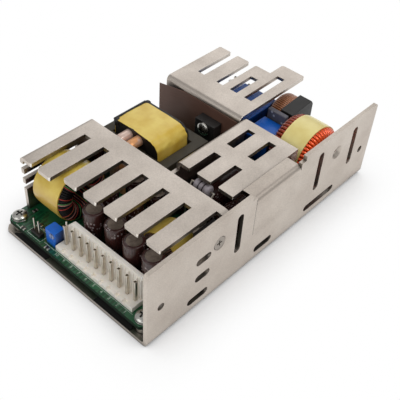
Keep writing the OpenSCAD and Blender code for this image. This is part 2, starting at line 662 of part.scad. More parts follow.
// round discs standing on edge at the input end
disc_r = 5;
module edge_disc(x, y, t) translate([x, y, board_top + disc_r]) rotate([-90, 0, 0]) cylinder(h = t, r = disc_r);
module varistor() color([0.1, 0.25, 0.5]) place() edge_disc(chassis_l - 8.4, 10.6, 4);
module inrush_thermistor() color([0.12, 0.13, 0.12]) place() edge_disc(chassis_l - 9.4, 18.4, 4.4);

// resistor carried on its leads above the ends of the bulk capacitors
res_d = 4.4;
res_at = [48.5, 17.7, 27.3];
res_l = 7;
res_lead_d = 0.8;
res_lead_x = 45.3;
res_lead_out = 1.6;
res_knee_z = 24;
module axial_resistor() color([0.62, 0.58, 0.66]) place() translate(res_at) rotate([-90, 0, 0])
  cylinder(h = res_l, d = res_d);
module axial_leads() color(tin) place() for (s = [0, 1]) {
  run = [res_at[0] - res_lead_x, res_at[2] - res_knee_z];
  out_y = res_at[1] + (s == 0 ? -res_lead_out : res_l + res_lead_out);
  translate([res_at[0], s == 0 ? out_y - res_lead_d / 2 : res_at[1] + res_l, res_at[2]]) rotate([-90, 0, 0])
    cylinder(h = res_lead_out + res_lead_d / 2, d = res_lead_d * 0.9);
  translate([res_lead_x, out_y, res_knee_z]) rotate([0, atan2(run[0], run[1]), 0]) translate([0, 0, -0.1])
    cylinder(h = norm(run) + 0.2, d = res_lead_d * 0.95);
  translate([res_lead_x, out_y, board_top]) cylinder(h = res_knee_z - board_top + 0.1, d = res_lead_d);
}

chassis();
insulator_sheet();
board_standoffs();
circuit_board();
screw_washers();
board_screws();
output_heatsink();
center_heatsink();
input_heatsink();
wall_screw();
wall_screw_nut();
output_rectifier();
power_transistor();
transistor_screw();
insulating_sheet();
output_choke_winding();
output_choke_tape();
pfc_choke_winding();
pfc_choke_tape();
filter_inductor_winding();
filter_inductor_tape();
transformer_core();
transformer_bobbin();
transformer_winding();
transformer_leads();
output_capacitors();
rear_output_capacitors();
bulk_capacitors();
header_housing();
header_pins();
trimmer_body();
trimmer_rotor();
jumper_base();
jumper_pins();
film_capacitor_a();
film_capacitor_b();
standby_block();
line_choke_carrier();
line_choke_winding();
bridge_rectifier();
inlet_housing();
inlet_pins();
fuse();
varistor();
inrush_thermistor();
axial_resistor();
axial_leads();
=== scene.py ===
import math

import bpy
from mathutils import Matrix, Vector


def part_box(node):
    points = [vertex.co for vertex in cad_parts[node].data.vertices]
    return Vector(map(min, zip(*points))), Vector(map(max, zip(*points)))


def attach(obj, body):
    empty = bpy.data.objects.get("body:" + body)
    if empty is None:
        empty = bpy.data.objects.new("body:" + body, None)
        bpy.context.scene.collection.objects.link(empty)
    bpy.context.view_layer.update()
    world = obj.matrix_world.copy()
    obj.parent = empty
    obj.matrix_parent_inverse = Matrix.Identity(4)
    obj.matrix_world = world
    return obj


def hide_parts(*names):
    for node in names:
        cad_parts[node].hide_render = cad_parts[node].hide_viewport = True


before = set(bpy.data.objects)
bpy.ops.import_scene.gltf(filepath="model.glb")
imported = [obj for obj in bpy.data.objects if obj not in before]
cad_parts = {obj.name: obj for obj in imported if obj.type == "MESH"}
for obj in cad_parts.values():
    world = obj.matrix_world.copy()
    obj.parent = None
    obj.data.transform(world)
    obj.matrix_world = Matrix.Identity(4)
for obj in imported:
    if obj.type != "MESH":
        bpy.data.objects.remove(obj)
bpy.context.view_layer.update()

scene = bpy.context.scene

# ---------------------------------------------------------------- studio
# A pale paper floor under a bright world, with three soft lamps and the camera.
# The floor shows white to the camera and keeps only the shadow under the chassis.

camera = bpy.data.objects.new("camera", bpy.data.cameras.new("camera"))
scene.collection.objects.link(camera)
scene.camera = camera
camera.data.sensor_width = 36
camera.data.lens = 64.5
camera.data.clip_start = 0.01
camera.location = (-0.15965, -0.13634, 0.19927)
camera.rotation_euler = [math.radians(a) for a in (46.371, -3.085, -47.279)]

scene.view_settings.view_transform = "Standard"


def linear(hex_code):
    """An sRGB hex colour as linear RGBA."""
    values = [int(hex_code[i:i + 2], 16) / 255 for i in (0, 2, 4)]
    return [v / 12.92 if v <= 0.04045 else ((v + 0.055) / 1.055) ** 2.4 for v in values] + [1.0]


def new_material(name):
    """An empty material."""
    mat = bpy.data.materials.new(name)
    mat.use_nodes = True
    mat.node_tree.nodes.clear()
    return mat


def add_node(mat, kind, settings=None, **inputs):
    """Adds a node with its settings. An input, by name or as i and its number, is a value or a link."""
    tree = getattr(mat, "node_tree", mat)
    node = tree.nodes.new(kind)
    for name, value in (settings or {}).items():
        setattr(node, name, value)
    for name, value in inputs.items():
        key = int(name[1:]) if name[0] == "i" and name[1:].isdigit() else name.replace("_", " ")
        if isinstance(value, bpy.types.NodeSocket):
            tree.links.new(value, node.inputs[key])
        else:
            node.inputs[key].default_value = value
    return node


for name, place, size, power in (("key_lamp", (0.1, -0.45, 0.75), 0.5, 2.1),
                                 ("fill_lamp", (-0.7, 0.1, 0.5), 0.6, 1.1),
                                 ("back_lamp", (0.65, 0.5, 0.62), 0.8, 1.2)):
    data = bpy.data.lights.new(name, "AREA")
    data.shape = "DISK"
    data.size = size
    data.energy = power
    lamp = bpy.data.objects.new(name, data)
    scene.collection.objects.link(lamp)
    lamp.location = place
    lamp.rotation_euler = (Vector((0, 0, 0.02)) - Vector(place)).to_track_quat("-Z", "Y").to_euler()

scene.world = bpy.data.worlds.new("studio")
scene.world.use_nodes = True
scene.world.node_tree.nodes.clear()
rays = add_node(scene.world, "ShaderNodeLightPath")
seen = add_node(scene.world, "ShaderNodeMath", {"operation": "MAXIMUM"}, i0=rays.outputs["Is Camera Ray"],
                i1=rays.outputs["Is Transmission Ray"])
strength = add_node(scene.world, "ShaderNodeMapRange", Value=seen.outputs[0], To_Min=0.42, To_Max=1.0)
sky = add_node(scene.world, "ShaderNodeBackground", Color=(1, 1, 1, 1), Strength=strength.outputs[0])
add_node(scene.world, "ShaderNodeOutputWorld", Surface=sky.outputs[0])

bpy.ops.object.select_all(action="DESELECT")
bpy.ops.mesh.primitive_plane_add(size=4, location=(0, 0, -0.0002))
floor = bpy.context.object
floor.name = "floor"
# White backing paper: no grain shows at this size, and it stays white to the camera beside a soft shadow.
paper = new_material("white_backing_paper")
path = add_node(paper, "ShaderNodeLightPath")
direct = add_node(paper, "ShaderNodeMath", {"operation": "MAXIMUM"}, i0=path.outputs["Is Camera Ray"],
                  i1=path.outputs["Is Glossy Ray"])
direct = add_node(paper, "ShaderNodeMath", {"operation": "MAXIMUM"}, i0=direct.outputs[0],
                  i1=path.outputs["Is Transmission Ray"])
fibre = add_node(paper, "ShaderNodeTexNoise", Scale=900.0)
tone = add_node(paper, "ShaderNodeMapRange", Value=fibre.outputs[0], To_Min=0.955, To_Max=0.975)
matt = add_node(paper, "ShaderNodeBsdfDiffuse", Color=tone.outputs[0])
glow = add_node(paper, "ShaderNodeEmission", Color=(1, 1, 1, 1), Strength=1.0)
hidden = add_node(paper, "ShaderNodeAmbientOcclusion", {"samples": 8}, Distance=0.02)
lit = add_node(paper, "ShaderNodeMapRange", Value=hidden.outputs["AO"], From_Min=0.35, From_Max=0.95,
               To_Min=0.0, To_Max=1.0)
lit = add_node(paper, "ShaderNodeMath", {"operation": "MULTIPLY"}, i0=lit.outputs[0], i1=direct.outputs[0])
paper_face = add_node(paper, "ShaderNodeMixShader", i0=lit.outputs[0], i1=matt.outputs[0], i2=glow.outputs[0])
add_node(paper, "ShaderNodeOutputMaterial", Surface=paper_face.outputs[0])
floor.data.materials.append(paper)

# ---------------------------------------------------------------- chassis
# One aluminium sheet, 1.6 mm thick, folded to an L, with a tab folded in from the wall's top edge, a shallow
# panel pressed into the wall, and punched slots. Its edges are broken by tumbling after punching.


def only(obj):
    """Makes obj the one selected and active object."""
    if bpy.context.object and bpy.context.object.mode == "EDIT":
        bpy.ops.object.mode_set(mode="OBJECT")
    bpy.ops.object.select_all(action="DESELECT")
    obj.select_set(True)
    bpy.context.view_layer.objects.active = obj


def round_edges(piece, edge, segments=2):
    """Rounds the piece's sharp edges by edge mm and shades the rest smooth."""
    only(piece)
    rounding = piece.modifiers.new("rounding", "BEVEL")
    rounding.width = edge / 1000
    rounding.segments = segments
    rounding.limit_method = "ANGLE"
    rounding.angle_limit = math.radians(30)
    bpy.ops.object.modifier_apply(modifier=rounding.name)
    bpy.ops.object.shade_smooth_by_angle(angle=math.radians(50))
    even = piece.modifiers.new("even", "WEIGHTED_NORMAL")
    even.keep_sharp = True
    even.weight = 100
    bpy.ops.object.modifier_apply(modifier=even.name)


def from_cad(node, name, edge, segments=2):
    """A copy of a CAD node, merged, with its flat faces joined and its edges rounded by edge mm."""
    piece = bpy.data.objects.new(name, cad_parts[node].data.copy())
    scene.collection.objects.link(piece)
    only(piece)
    bpy.ops.object.mode_set(mode="EDIT")
    bpy.ops.mesh.select_all(action="SELECT")
    bpy.ops.mesh.remove_doubles(threshold=1e-6)
    bpy.ops.mesh.dissolve_limited(angle_limit=math.radians(0.4))
    bpy.ops.object.mode_set(mode="OBJECT")
    round_edges(piece, edge, segments)
    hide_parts(node)
    return piece


def finish_piece(piece, material, body="root"):
    """Gives a piece its material and the body it rides on."""
    piece.data.materials.clear()
    piece.data.materials.append(material)
    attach(piece, body)
    return piece


def painted_hollow_shade(mat, reach, start, end, least):
    """A painted shade factor for a colour: least in hollows that are shut in within reach metres, 1 on open
    faces.
    """
    near_by = add_node(mat, "ShaderNodeAmbientOcclusion", {"samples": 8}, Distance=reach)
    factor = add_node(mat, "ShaderNodeMapRange", Value=near_by.outputs["AO"], From_Min=start, From_Max=end,
                      To_Min=least, To_Max=1.0)
    return factor.outputs[0]


# Rolled aluminium sheet with a clear passivated finish: satin, a little warm, with fine lines along the
# rolling direction, faint cloudy patches, scuffs where it was handled, and painted shade that darkens its
# corners and holes.
# The lines are drawn at 0.25 mm so that they show.
def sheet_aluminium(name, colour, darkest_painted_shade=0.15, worn=0.46):
    mat = new_material(name)
    rolled = (0.06, 1, 1)
    where = add_node(mat, "ShaderNodeTexCoord")
    stretched = add_node(mat, "ShaderNodeMapping", Vector=where.outputs["Object"], Scale=rolled)
    lines = add_node(mat, "ShaderNodeTexNoise", Vector=stretched.outputs[0], Scale=4000.0, Detail=3.0)
    cloud = add_node(mat, "ShaderNodeTexNoise", Vector=where.outputs["Object"], Scale=70.0, Detail=4.0,
                     Roughness=0.6)
    scuff = add_node(mat, "ShaderNodeTexNoise", Vector=stretched.outputs[0], Scale=420.0, Detail=6.0,
                     Roughness=0.75)
    scuffed = add_node(mat, "ShaderNodeMapRange", Value=scuff.outputs[0], From_Min=0.6, From_Max=0.78)
    tint = add_node(mat, "ShaderNodeMapRange", Value=cloud.outputs[0], From_Min=0.35, From_Max=0.65)
    base = add_node(mat, "ShaderNodeMix", {"data_type": "RGBA"}, Factor=tint.outputs[0], i6=linear(colour[0]),
                    i7=linear(colour[1]))
    rough = add_node(mat, "ShaderNodeMapRange", Value=cloud.outputs[0], From_Min=0.3, From_Max=0.7,
                     To_Min=worn, To_Max=worn - 0.1)
    rough = add_node(mat, "ShaderNodeMath", {"operation": "MULTIPLY_ADD"}, i0=scuffed.outputs[0], i1=0.16,
                     i2=rough.outputs[0])
    grain = add_node(mat, "ShaderNodeTexNoise", Vector=where.outputs["Object"], Scale=2200.0, Detail=2.0)
    grain = add_node(mat, "ShaderNodeMapRange", Value=grain.outputs[0], From_Min=0.3, From_Max=0.7,
                     To_Min=0.9, To_Max=1.06)
    # the grain, times painted shade in the corners and holes
    shade = add_node(mat, "ShaderNodeMath", {"operation": "MULTIPLY"}, i0=grain.outputs[0],
                     i1=painted_hollow_shade(mat, 0.004, 0.4, 0.95, darkest_painted_shade))
    base = add_node(mat, "ShaderNodeVectorMath", {"operation": "SCALE"}, i0=base.outputs[2],
                    Scale=shade.outputs[0])
    fine = add_node(mat, "ShaderNodeBump", Strength=0.12, Distance=0.00003, Height=lines.outputs[0])
    metal = add_node(mat, "ShaderNodeBsdfPrincipled", Base_Color=base.outputs[0], Metallic=1.0,
                     Roughness=rough.outputs[0], Anisotropic=0.25, Normal=fine.outputs[0])
    add_node(mat, "ShaderNodeOutputMaterial", Surface=metal.outputs[0])
    return mat


def burnish_and_highlight_edges(piece, metal):
    """Gives the narrow rounded faces along a piece's edges a metal of their own, paler as a painted
    highlight.
    """
    piece.data.materials.append(metal)
    for face in piece.data.polygons:
        corners = [piece.data.vertices[i].co for i in face.vertices]
        shortest = min((a - b).length for a, b in zip(corners, corners[1:] + corners[:1]))
        slanted = max(abs(c) for c in face.normal) < 0.999
        if shortest < 0.0002 and slanted:
            face.material_index = 1


# The tumbled edges of the same sheet: smoother than its faces and paler, partly as rubbed metal and partly as
# a painted highlight along the edges, and without the painted shade in hollows.
edge_metal = sheet_aluminium("burnished_aluminium_edge_painted_highlight", ("e9e1d7", "f6f0e7"), 1.0, 0.3)
chassis_metal = sheet_aluminium("passivated_aluminium_sheet", ("c6bbb0", "cfc5ba"))
chassis_sheet = finish_piece(from_cad("chassis", "chassis_sheet", 0.25), chassis_metal)
burnish_and_highlight_edges(chassis_sheet, edge_metal)


def colour_of(mat):
    """The colour input of a material's surface, and the output that feeds it so far."""
    surface = next(n for n in mat.node_tree.nodes if n.type == "BSDF_PRINCIPLED")
    colour = surface.inputs["Base Color"]
    return colour, colour.links[0].from_socket


def darken(mat, factor):
    """Scales the colour of a material's surface by a factor's output."""
    colour, plain = colour_of(mat)
    scaled = add_node(mat, "ShaderNodeVectorMath", {"operation": "SCALE"}, i0=plain, Scale=factor)
    mat.node_tree.links.new(scaled.outputs[0], colour)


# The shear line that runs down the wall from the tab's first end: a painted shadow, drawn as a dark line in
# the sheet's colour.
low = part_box("chassis")[0]
shear_x, shear_z = low.x + 0.0524, 0.0245
shear_half_w, shear_half_h = 0.00016, 0.0085
where = add_node(chassis_metal, "ShaderNodeTexCoord")
place = add_node(chassis_metal, "ShaderNodeSeparateXYZ", Vector=where.outputs["Object"])
beside = add_node(chassis_metal, "ShaderNodeMath", {"operation": "COMPARE"}, i0=place.outputs[0],
                  i1=shear_x, i2=shear_half_w)
level = add_node(chassis_metal, "ShaderNodeMath", {"operation": "COMPARE"}, i0=place.outputs[2],
                 i1=shear_z, i2=shear_half_h)
line = add_node(chassis_metal, "ShaderNodeMath", {"operation": "MULTIPLY"}, i0=beside.outputs[0],
                i1=level.outputs[0])
colour, plain = colour_of(chassis_metal)
painted_shear_shadow = add_node(chassis_metal, "ShaderNodeMix", {"data_type": "RGBA"}, Factor=line.outputs[0], i6=plain,
                  i7=linear("3a342e"))
chassis_metal.node_tree.links.new(painted_shear_shadow.outputs[2], colour)

# ---------------------------------------------------------------- heatsinks
# Three combs of the same sheet, blanked and folded: one over the output end, one over the middle and one over
# the input end. Blanking leaves a rolled upper edge, which catches the light, and crisp finger ends.

sink_metal = sheet_aluminium("heatsink_aluminium_sheet", ("c9bfb5", "d2c8be"))
for node, name in (("output_heatsink", "output_comb"), ("center_heatsink", "middle_comb"),
                   ("input_heatsink", "input_comb")):
    burnish_and_highlight_edges(finish_piece(from_cad(node, name, 0.28), sink_metal), edge_metal)

# ---------------------------------------------------------------- insulator sheet
# A black fibre sheet laid on the base under the board, so that the solder joints can't touch the metal.
# It is die cut and matt, with a fine fibrous face.


def mottled(name, dark, light, per_metre, detail=2.0, relief=None, pores=None, rough=None, **shader):
    """Two tones mixed by a noise. Relief is the strength and depth in metres of its skin, pores the scale and
    detail of a finer noise for that skin, and rough the range that its roughness goes through."""
    mat = new_material(name)
    where = add_node(mat, "ShaderNodeTexCoord")
    noise = add_node(mat, "ShaderNodeTexNoise", Vector=where.outputs["Object"], Scale=per_metre,
                     Detail=detail)
    tone = add_node(mat, "ShaderNodeMix", {"data_type": "RGBA"}, Factor=noise.outputs[0], i6=linear(dark),
                    i7=linear(light))
    grain = noise
    if pores:
        grain = add_node(mat, "ShaderNodeTexNoise", Vector=where.outputs["Object"], Scale=pores[0],
                         Detail=pores[1])
    if relief:
        skin = add_node(mat, "ShaderNodeBump", Strength=relief[0], Distance=relief[1],
                        Height=grain.outputs[0])
        shader["Normal"] = skin.outputs[0]
    if rough:
        dull = add_node(mat, "ShaderNodeMapRange", Value=noise.outputs[0], To_Min=rough[0], To_Max=rough[1])
        shader["Roughness"] = dull.outputs[0]
    face = add_node(mat, "ShaderNodeBsdfPrincipled", Base_Color=tone.outputs[2], **shader)
    add_node(mat, "ShaderNodeOutputMaterial", Surface=face.outputs[0])
    return mat


def plate(name, centre, size):
    """A flat piece drawn as its outline about centre and raised by its thickness. Sizes in metres."""
    bpy.ops.object.select_all(action="DESELECT")
    bpy.ops.mesh.primitive_plane_add(size=1, location=centre)
    piece = bpy.context.object
    piece.name = name
    bpy.ops.object.mode_set(mode="EDIT")
    bpy.ops.transform.resize(value=(size[0], size[1], 1), center_override=centre)
    bpy.ops.mesh.extrude_region_move(TRANSFORM_OT_translate={"value": (0, 0, size[2])})
    bpy.ops.mesh.select_all(action="SELECT")
    bpy.ops.mesh.normals_make_consistent(inside=False)
    bpy.ops.object.mode_set(mode="OBJECT")
    bpy.ops.object.transform_apply(location=True, rotation=True, scale=True)
    return piece


# Vulcanised fibre: near black, quite matt, with a fuzz of fibres at 0.6 mm.
fibre_board = mottled("black_vulcanised_fibre", "0c0b0b", "221f1e", 1600.0, 5.0, (0.3, 0.00005),
                      Roughness=0.72)
finish_piece(from_cad("insulator_sheet", "fibre_sheet", 0.04), fibre_board)

# the sheet's front edge comes forward over the base's edge on both sides of its cut-out
sheet_low, sheet_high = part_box("insulator_sheet")
bay, lap = 0.0263, 0.0002
bay_low, bay_high = (sheet_low.y + sheet_high.y - bay) / 2, (sheet_low.y + sheet_high.y + bay) / 2
for name, start, end in (("fibre_lip_near", sheet_low.y, bay_low), ("fibre_lip_far", bay_high, sheet_high.y)):
    lip_centre = Vector(((low.x + sheet_low.x + lap) / 2, (start + end) / 2, sheet_low.z))
    lip = plate(name, lip_centre, (sheet_low.x - low.x + lap, end - start, sheet_high.z - sheet_low.z))
    round_edges(lip, 0.04)
    finish_piece(lip, fibre_board)


# ---------------------------------------------------------------- circuit board
# A 1.6 mm glass laminate under green solder mask, with small chip parts, white printed outlines and plain pin
# numbers along its front edge. It stands on four standoffs above the base.

board_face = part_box("circuit_board")[1].z


def at(x, y, z=0.0):
    """A place given in mm from the chassis corner, in metres in the frame."""
    return Vector((low.x + x / 1000, low.y + y / 1000, z / 1000))


# Solder mask over copper: a glossy green film, lighter and smoother over the tracks, darker between them. The
# tracks are drawn 0.5 mm wide on a 1.6 mm grid, and the sawn edge is bare laminate.
mask = new_material("green_solder_mask")
where = add_node(mask, "ShaderNodeTexCoord")
bent = add_node(mask, "ShaderNodeTexNoise", Vector=where.outputs["Object"], Scale=90.0, Detail=1.0)
moved = add_node(mask, "ShaderNodeMix", {"data_type": "VECTOR"}, Factor=0.0022, i4=where.outputs["Object"],
                 i5=bent.outputs[1])
tracks = add_node(mask, "ShaderNodeTexBrick", {"offset": 0.5, "offset_frequency": 2}, Vector=moved.outputs[1],
                  Scale=320.0, Mortar_Size=0.09, Mortar_Smooth=0.15, Brick_Width=1.9, Row_Height=0.52)
pour = add_node(mask, "ShaderNodeTexVoronoi", Vector=where.outputs["Object"], Scale=110.0)
filled = add_node(mask, "ShaderNodeMath", {"operation": "GREATER_THAN"}, i0=pour.outputs["Color"], i1=0.55)
copper = add_node(mask, "ShaderNodeMath", {"operation": "MAXIMUM"}, i0=tracks.outputs["Fac"],
                  i1=filled.outputs[0])
green = add_node(mask, "ShaderNodeMix", {"data_type": "RGBA"}, Factor=copper.outputs[0], i6=linear("0a3f26"),
                 i7=linear("175c39"))
raised = add_node(mask, "ShaderNodeBump", Strength=0.5, Distance=0.00004, Height=copper.outputs[0])
film = add_node(mask, "ShaderNodeBsdfPrincipled", Base_Color=green.outputs[2], Roughness=0.3,
                Normal=raised.outputs[0], Coat_Weight=0.4, Coat_Roughness=0.12)
add_node(mask, "ShaderNodeOutputMaterial", Surface=film.outputs[0])
board = finish_piece(from_cad("circuit_board", "laminate_board", 0.06), mask)

# Sawn laminate: dark green glass cloth in resin, quite matt, with the weave's ends in it.
laminate = mottled("sawn_glass_laminate", "0a170d", "1c3021", 2500.0, Roughness=0.8, Specular_IOR_Level=0.1)
board.data.materials.append(laminate)
for face in board.data.polygons:
    if abs(face.normal.z) < 0.7:
        face.material_index = 1


def strip(name, corner, size, height=0.03):
    """A thin flat piece lying on the board: corner and size in mm, height in mm."""
    centre = at(corner[0] + size[0] / 2, corner[1] + size[1] / 2) + Vector((0, 0, board_face))
    return plate(name, centre, (size[0] / 1000, size[1] / 1000, height / 1000))


def join(name, pieces):
    """Joins pieces into one and moves its origin to the frame's."""
    only(pieces[0])
    for piece in pieces[1:]:
        piece.select_set(True)
    bpy.ops.object.join()
    joined = bpy.context.object
    joined.name = name
    bpy.ops.object.transform_apply(location=True, rotation=True, scale=True)
    return joined


def copy_of(piece, shift):
    """A copy with its own mesh, moved by shift metres."""
    twin = piece.copy()
    twin.data = piece.data.copy()
    scene.collection.objects.link(twin)
    twin.data.transform(Matrix.Translation(shift))
    return twin


# Screen printed epoxy ink: flat off-white, a little thin, so that the green shows through in specks.
ink = new_material("white_screen_ink")
where = add_node(ink, "ShaderNodeTexCoord")
specks = add_node(ink, "ShaderNodeTexNoise", Vector=where.outputs["Object"], Scale=3000.0, Detail=3.0)
worn = add_node(ink, "ShaderNodeMapRange", Value=specks.outputs[0], From_Min=0.38, From_Max=0.52)
shade = add_node(ink, "ShaderNodeMix", {"data_type": "RGBA"}, Factor=worn.outputs[0], i6=linear("5d8a72"),
                 i7=linear("ccd8cc"))
flat_ink = add_node(ink, "ShaderNodeBsdfPrincipled", Base_Color=shade.outputs[2], Roughness=0.55)
add_node(ink, "ShaderNodeOutputMaterial", Surface=flat_ink.outputs[0])

pin_count, pin_pitch, pin_half = 10, 3.96, 0.57
pin_one_y = (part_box("header_pins")[0].y - low.y) * 1000 + pin_half
# along the connector's front, a frame round the jumper and the trimmer, and two short lines by the edge
ink_lines = [strip("ink", corner, size) for corner, size in (
    ((2.85, 9.6), (0.16, 40.4)), ((1.65, 56.9), (0.2, 7.4)), ((1.65, 56.8), (4.4, 0.2)),
    ((1.65, 64.2), (4.4, 0.2)), ((6.0, 56.9), (0.2, 7.4)), ((2.7, 50.1), (0.22, 5.6)),
    ((1.1, 66.9), (0.2, 3.2)))]
number_raise = 0.000015
for i in range(pin_count):
    bpy.ops.object.select_all(action="DESELECT")
    bpy.ops.object.text_add()
    number = bpy.context.object
    number.data.body = str(i + 1)
    number.data.size = 0.0016
    number.data.extrude = number_raise
    number.data.align_x = "CENTER"
    number.data.align_y = "CENTER"
    number.data.resolution_u = 2
    number.rotation_euler = (0, 0, math.radians(-90))
    number.location = at(2.0, pin_one_y + i * pin_pitch) + Vector((0, 0, board_face + number_raise))
    bpy.ops.object.convert(target="MESH")
    bpy.ops.object.transform_apply(location=True, rotation=True, scale=True)
    ink_lines.append(bpy.context.object)
finish_piece(join("board_printing", ink_lines), ink)

# Tin on the chip parts' ends: a bright grey alloy, wavy where it melted.
solder = mottled("tin_solder", "a9a8a2", "dcdad2", 1400.0, 2.0, (0.5, 0.0001), Metallic=1.0, Roughness=0.28)

# Chip parts soldered flat on the board: a ceramic body between two tinned ends.
chip_places = (
    (1.5, 52.6, 90), (1.5, 66.4, 90), (6.9, 57.6, 0), (7.2, 60.4, 0), (7.0, 63.2, 90), (8.4, 52.2, 90),
    (10.4, 70.6, 0), (35.4, 67.4, 0), (37.6, 62.6, 90), (12.6, 49.8, 0), (19.6, 48.6, 90), (36.8, 27.4, 0),
    (39.6, 21.8, 90), (73.8, 39.6, 0), (76.6, 42.4, 90), (74.6, 66.2, 90), (116.2, 44.8, 0),
    (110.4, 70.4, 90), (104.2, 63.4, 0), (96.8, 60.8, 90))
chip_l, chip_w, end_l = 2.0, 1.25, 0.5
ends, bodies = [], []
for x, y, turn in chip_places:
    if turn == 0:
        bodies.append(strip("chip", (x - 0.28 * chip_l, y - chip_w / 2), (0.56 * chip_l, chip_w), 0.55))
    else:
        bodies.append(strip("chip", (x - 0.28 * chip_w, y - 0.28 * chip_l), (chip_w, 0.56 * chip_l), 0.55))
    for side in (-0.8, 0.8):
        if turn == 0:
            ends.append(strip("end", (x + side - end_l / 2, y - chip_w / 2), (end_l, chip_w), 0.57))
        else:
            ends.append(strip("end", (x - chip_w / 2, y + side - end_l / 2), (chip_w, end_l), 0.57))
chip_ends = join("chip_part_ends", ends)
round_edges(chip_ends, 0.08)
finish_piece(chip_ends, solder)
# Fired alumina and resistor glaze: near black, glassy, with a mottled skin.
glaze = mottled("black_resistor_glaze", "161514", "34302c", 1800.0, Roughness=0.22)
chips = join("chip_parts", bodies)
round_edges(chips, 0.06)
finish_piece(chips, glaze)

# ---------------------------------------------------------------- board fixings
# Four turned standoffs under the board, and over it a washer and a pan head screw with a cross recess at each
# corner. All are zinc plated steel.


# Bright zinc plating: bluish grey and clear, with small clouded spots, fine turning marks, and painted shade
# that darkens its recesses.
# The screw in the wall and its nut are of older stock, grey and dull.
def zinc_plate(name, dark, light, rough):
    mat = mottled(name, dark, light, 700.0, 4.0, (0.15, 0.00003), (2600.0, 1.0), (rough, rough + 0.16),
                  Metallic=1.0)
    # painted shade in the recesses
    darken(mat, painted_hollow_shade(mat, 0.0012, 0.4, 0.9, 0.08))
    return mat


zinc = zinc_plate("zinc_plated_steel", "b3b2ad", "dedcd5", 0.2)
dull_zinc = zinc_plate("dull_zinc_plated_steel", "938b83", "b0a79d", 0.34)
for node, name, edge in (("board_standoffs", "standoffs", 0.15), ("screw_washers", "washers", 0.1),
                         ("board_screws", "pan_head_screws", 0.12),
                         ("transistor_screw", "clamp_screw", 0.12)):
    finish_piece(from_cad(node, name, edge), zinc)
finish_piece(from_cad("wall_screw_nut", "clamp_nut", 0.15), dull_zinc)


def reshape(piece, operator, **settings):
    """Runs a transform operator on the whole mesh of a piece."""
    only(piece)
    bpy.ops.object.mode_set(mode="EDIT")
    bpy.ops.mesh.select_all(action="SELECT")
    operator(**settings)
    bpy.ops.object.mode_set(mode="OBJECT")


# the wall screw's head lies a little below the rim of its countersink, with a dark gap round it
screw_low, screw_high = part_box("wall_screw")
wall_screw = from_cad("wall_screw", "countersunk_screw", 0.12)
reshape(wall_screw, bpy.ops.transform.resize, value=(0.88, 1, 0.88),
        center_override=(screw_low + screw_high) / 2)
reshape(wall_screw, bpy.ops.transform.translate, value=(0, 0.00015, 0))
finish_piece(wall_screw, dull_zinc)


# ---------------------------------------------------------------- capacitors
# Upright and lying electrolytic cans: an aluminium can with a scored, pressed-in top, shrunk into a dark
# plastic sleeve that rolls over the rim and pinches into the groove near the rubber end. They stand on their
# leads.


def turned(name, profile, steps=48):
    """A profile of (radius, height) points in mm, drawn point by point and spun round the Z axis."""
    if bpy.context.object and bpy.context.object.mode == "EDIT":
        bpy.ops.object.mode_set(mode="OBJECT")
    bpy.ops.object.select_all(action="DESELECT")
    bpy.ops.mesh.primitive_plane_add(size=0.0001, location=(0, 0, 0))
    piece = bpy.context.object
    piece.name = name
    bpy.ops.object.mode_set(mode="EDIT")
    bpy.ops.mesh.merge(type="CENTER")
    bpy.ops.transform.translate(value=(profile[0][0] / 1000, 0, profile[0][1] / 1000))
    for last, point in zip(profile, profile[1:]):
        bpy.ops.mesh.extrude_region_move(TRANSFORM_OT_translate={
            "value": ((point[0] - last[0]) / 1000, 0, (point[1] - last[1]) / 1000)})
    bpy.ops.mesh.select_all(action="SELECT")
    bpy.ops.mesh.spin(steps=steps, angle=2 * math.pi, center=(0, 0, 0), axis=(0, 0, 1))
    bpy.ops.mesh.select_all(action="SELECT")
    bpy.ops.mesh.remove_doubles(threshold=1e-6)
    bpy.ops.mesh.normals_make_consistent(inside=False)
    bpy.ops.object.mode_set(mode="OBJECT")
    bpy.ops.object.shade_smooth_by_angle(angle=math.radians(40))
    return piece


def lay_down(piece, place, axis="Z"):
    """Turns a piece made about Z onto axis and moves it to place, into its mesh."""
    only(piece)
    quarter = math.radians(90)
    piece.rotation_euler = {"Z": (0, 0, 0), "X": (0, quarter, 0), "Y": (-quarter, 0, 0)}[axis]
    piece.location = place
    bpy.ops.object.transform_apply(location=True, rotation=True, scale=True)
    return piece


def arc(cx, cz, r, start, end, steps):
    """Points of an arc in a profile, in mm, from start to end degrees."""
    return [(cx + r * math.cos(math.radians(start + (end - start) * i / steps)),
             cz + r * math.sin(math.radians(start + (end - start) * i / steps))) for i in range(steps + 1)]


def sleeve_profile(d, h):
    """The outline of a sleeve in mm: foot, groove, straight side and the roll over the can's rim."""
    r = d / 2
    return ([(r - 1.5, 0), (r - 0.5, 0)] + arc(r - 0.5, 0.45, 0.45, -90, 0, 4) + [(r - 0.05, 1.4)]
            + arc(r + 0.1, 1.95, 0.55, 255, 105, 6) + [(r, 2.8), (r, h - 0.9)]
            + arc(r - 0.6, h - 0.65, 0.6, 0, 90, 5) + [(r - 1.05, h - 0.1), (r - 1.15, h - 0.25)])


def can_top(name, d, h):
    """The bare can's end inside the sleeve's roll, pressed in at the middle and scored in a cross."""
    r = d / 2
    top = turned(name, [(0, h - 0.42), (r - 1.9, h - 0.42), (r - 1.55, h - 0.3), (r - 1.1, h - 0.28)], 40)
    scores = []
    for turn in (0, 60, 120):
        score = plate("score", (0, 0, (h - 0.4) / 1000), ((d - 4.4) / 1000, 0.00016, 0.00006))
        score.rotation_euler = (0, 0, math.radians(turn))
        bpy.ops.object.transform_apply(location=False, rotation=True, scale=False)
        scores.append(score)
    return join(name, [top] + scores)


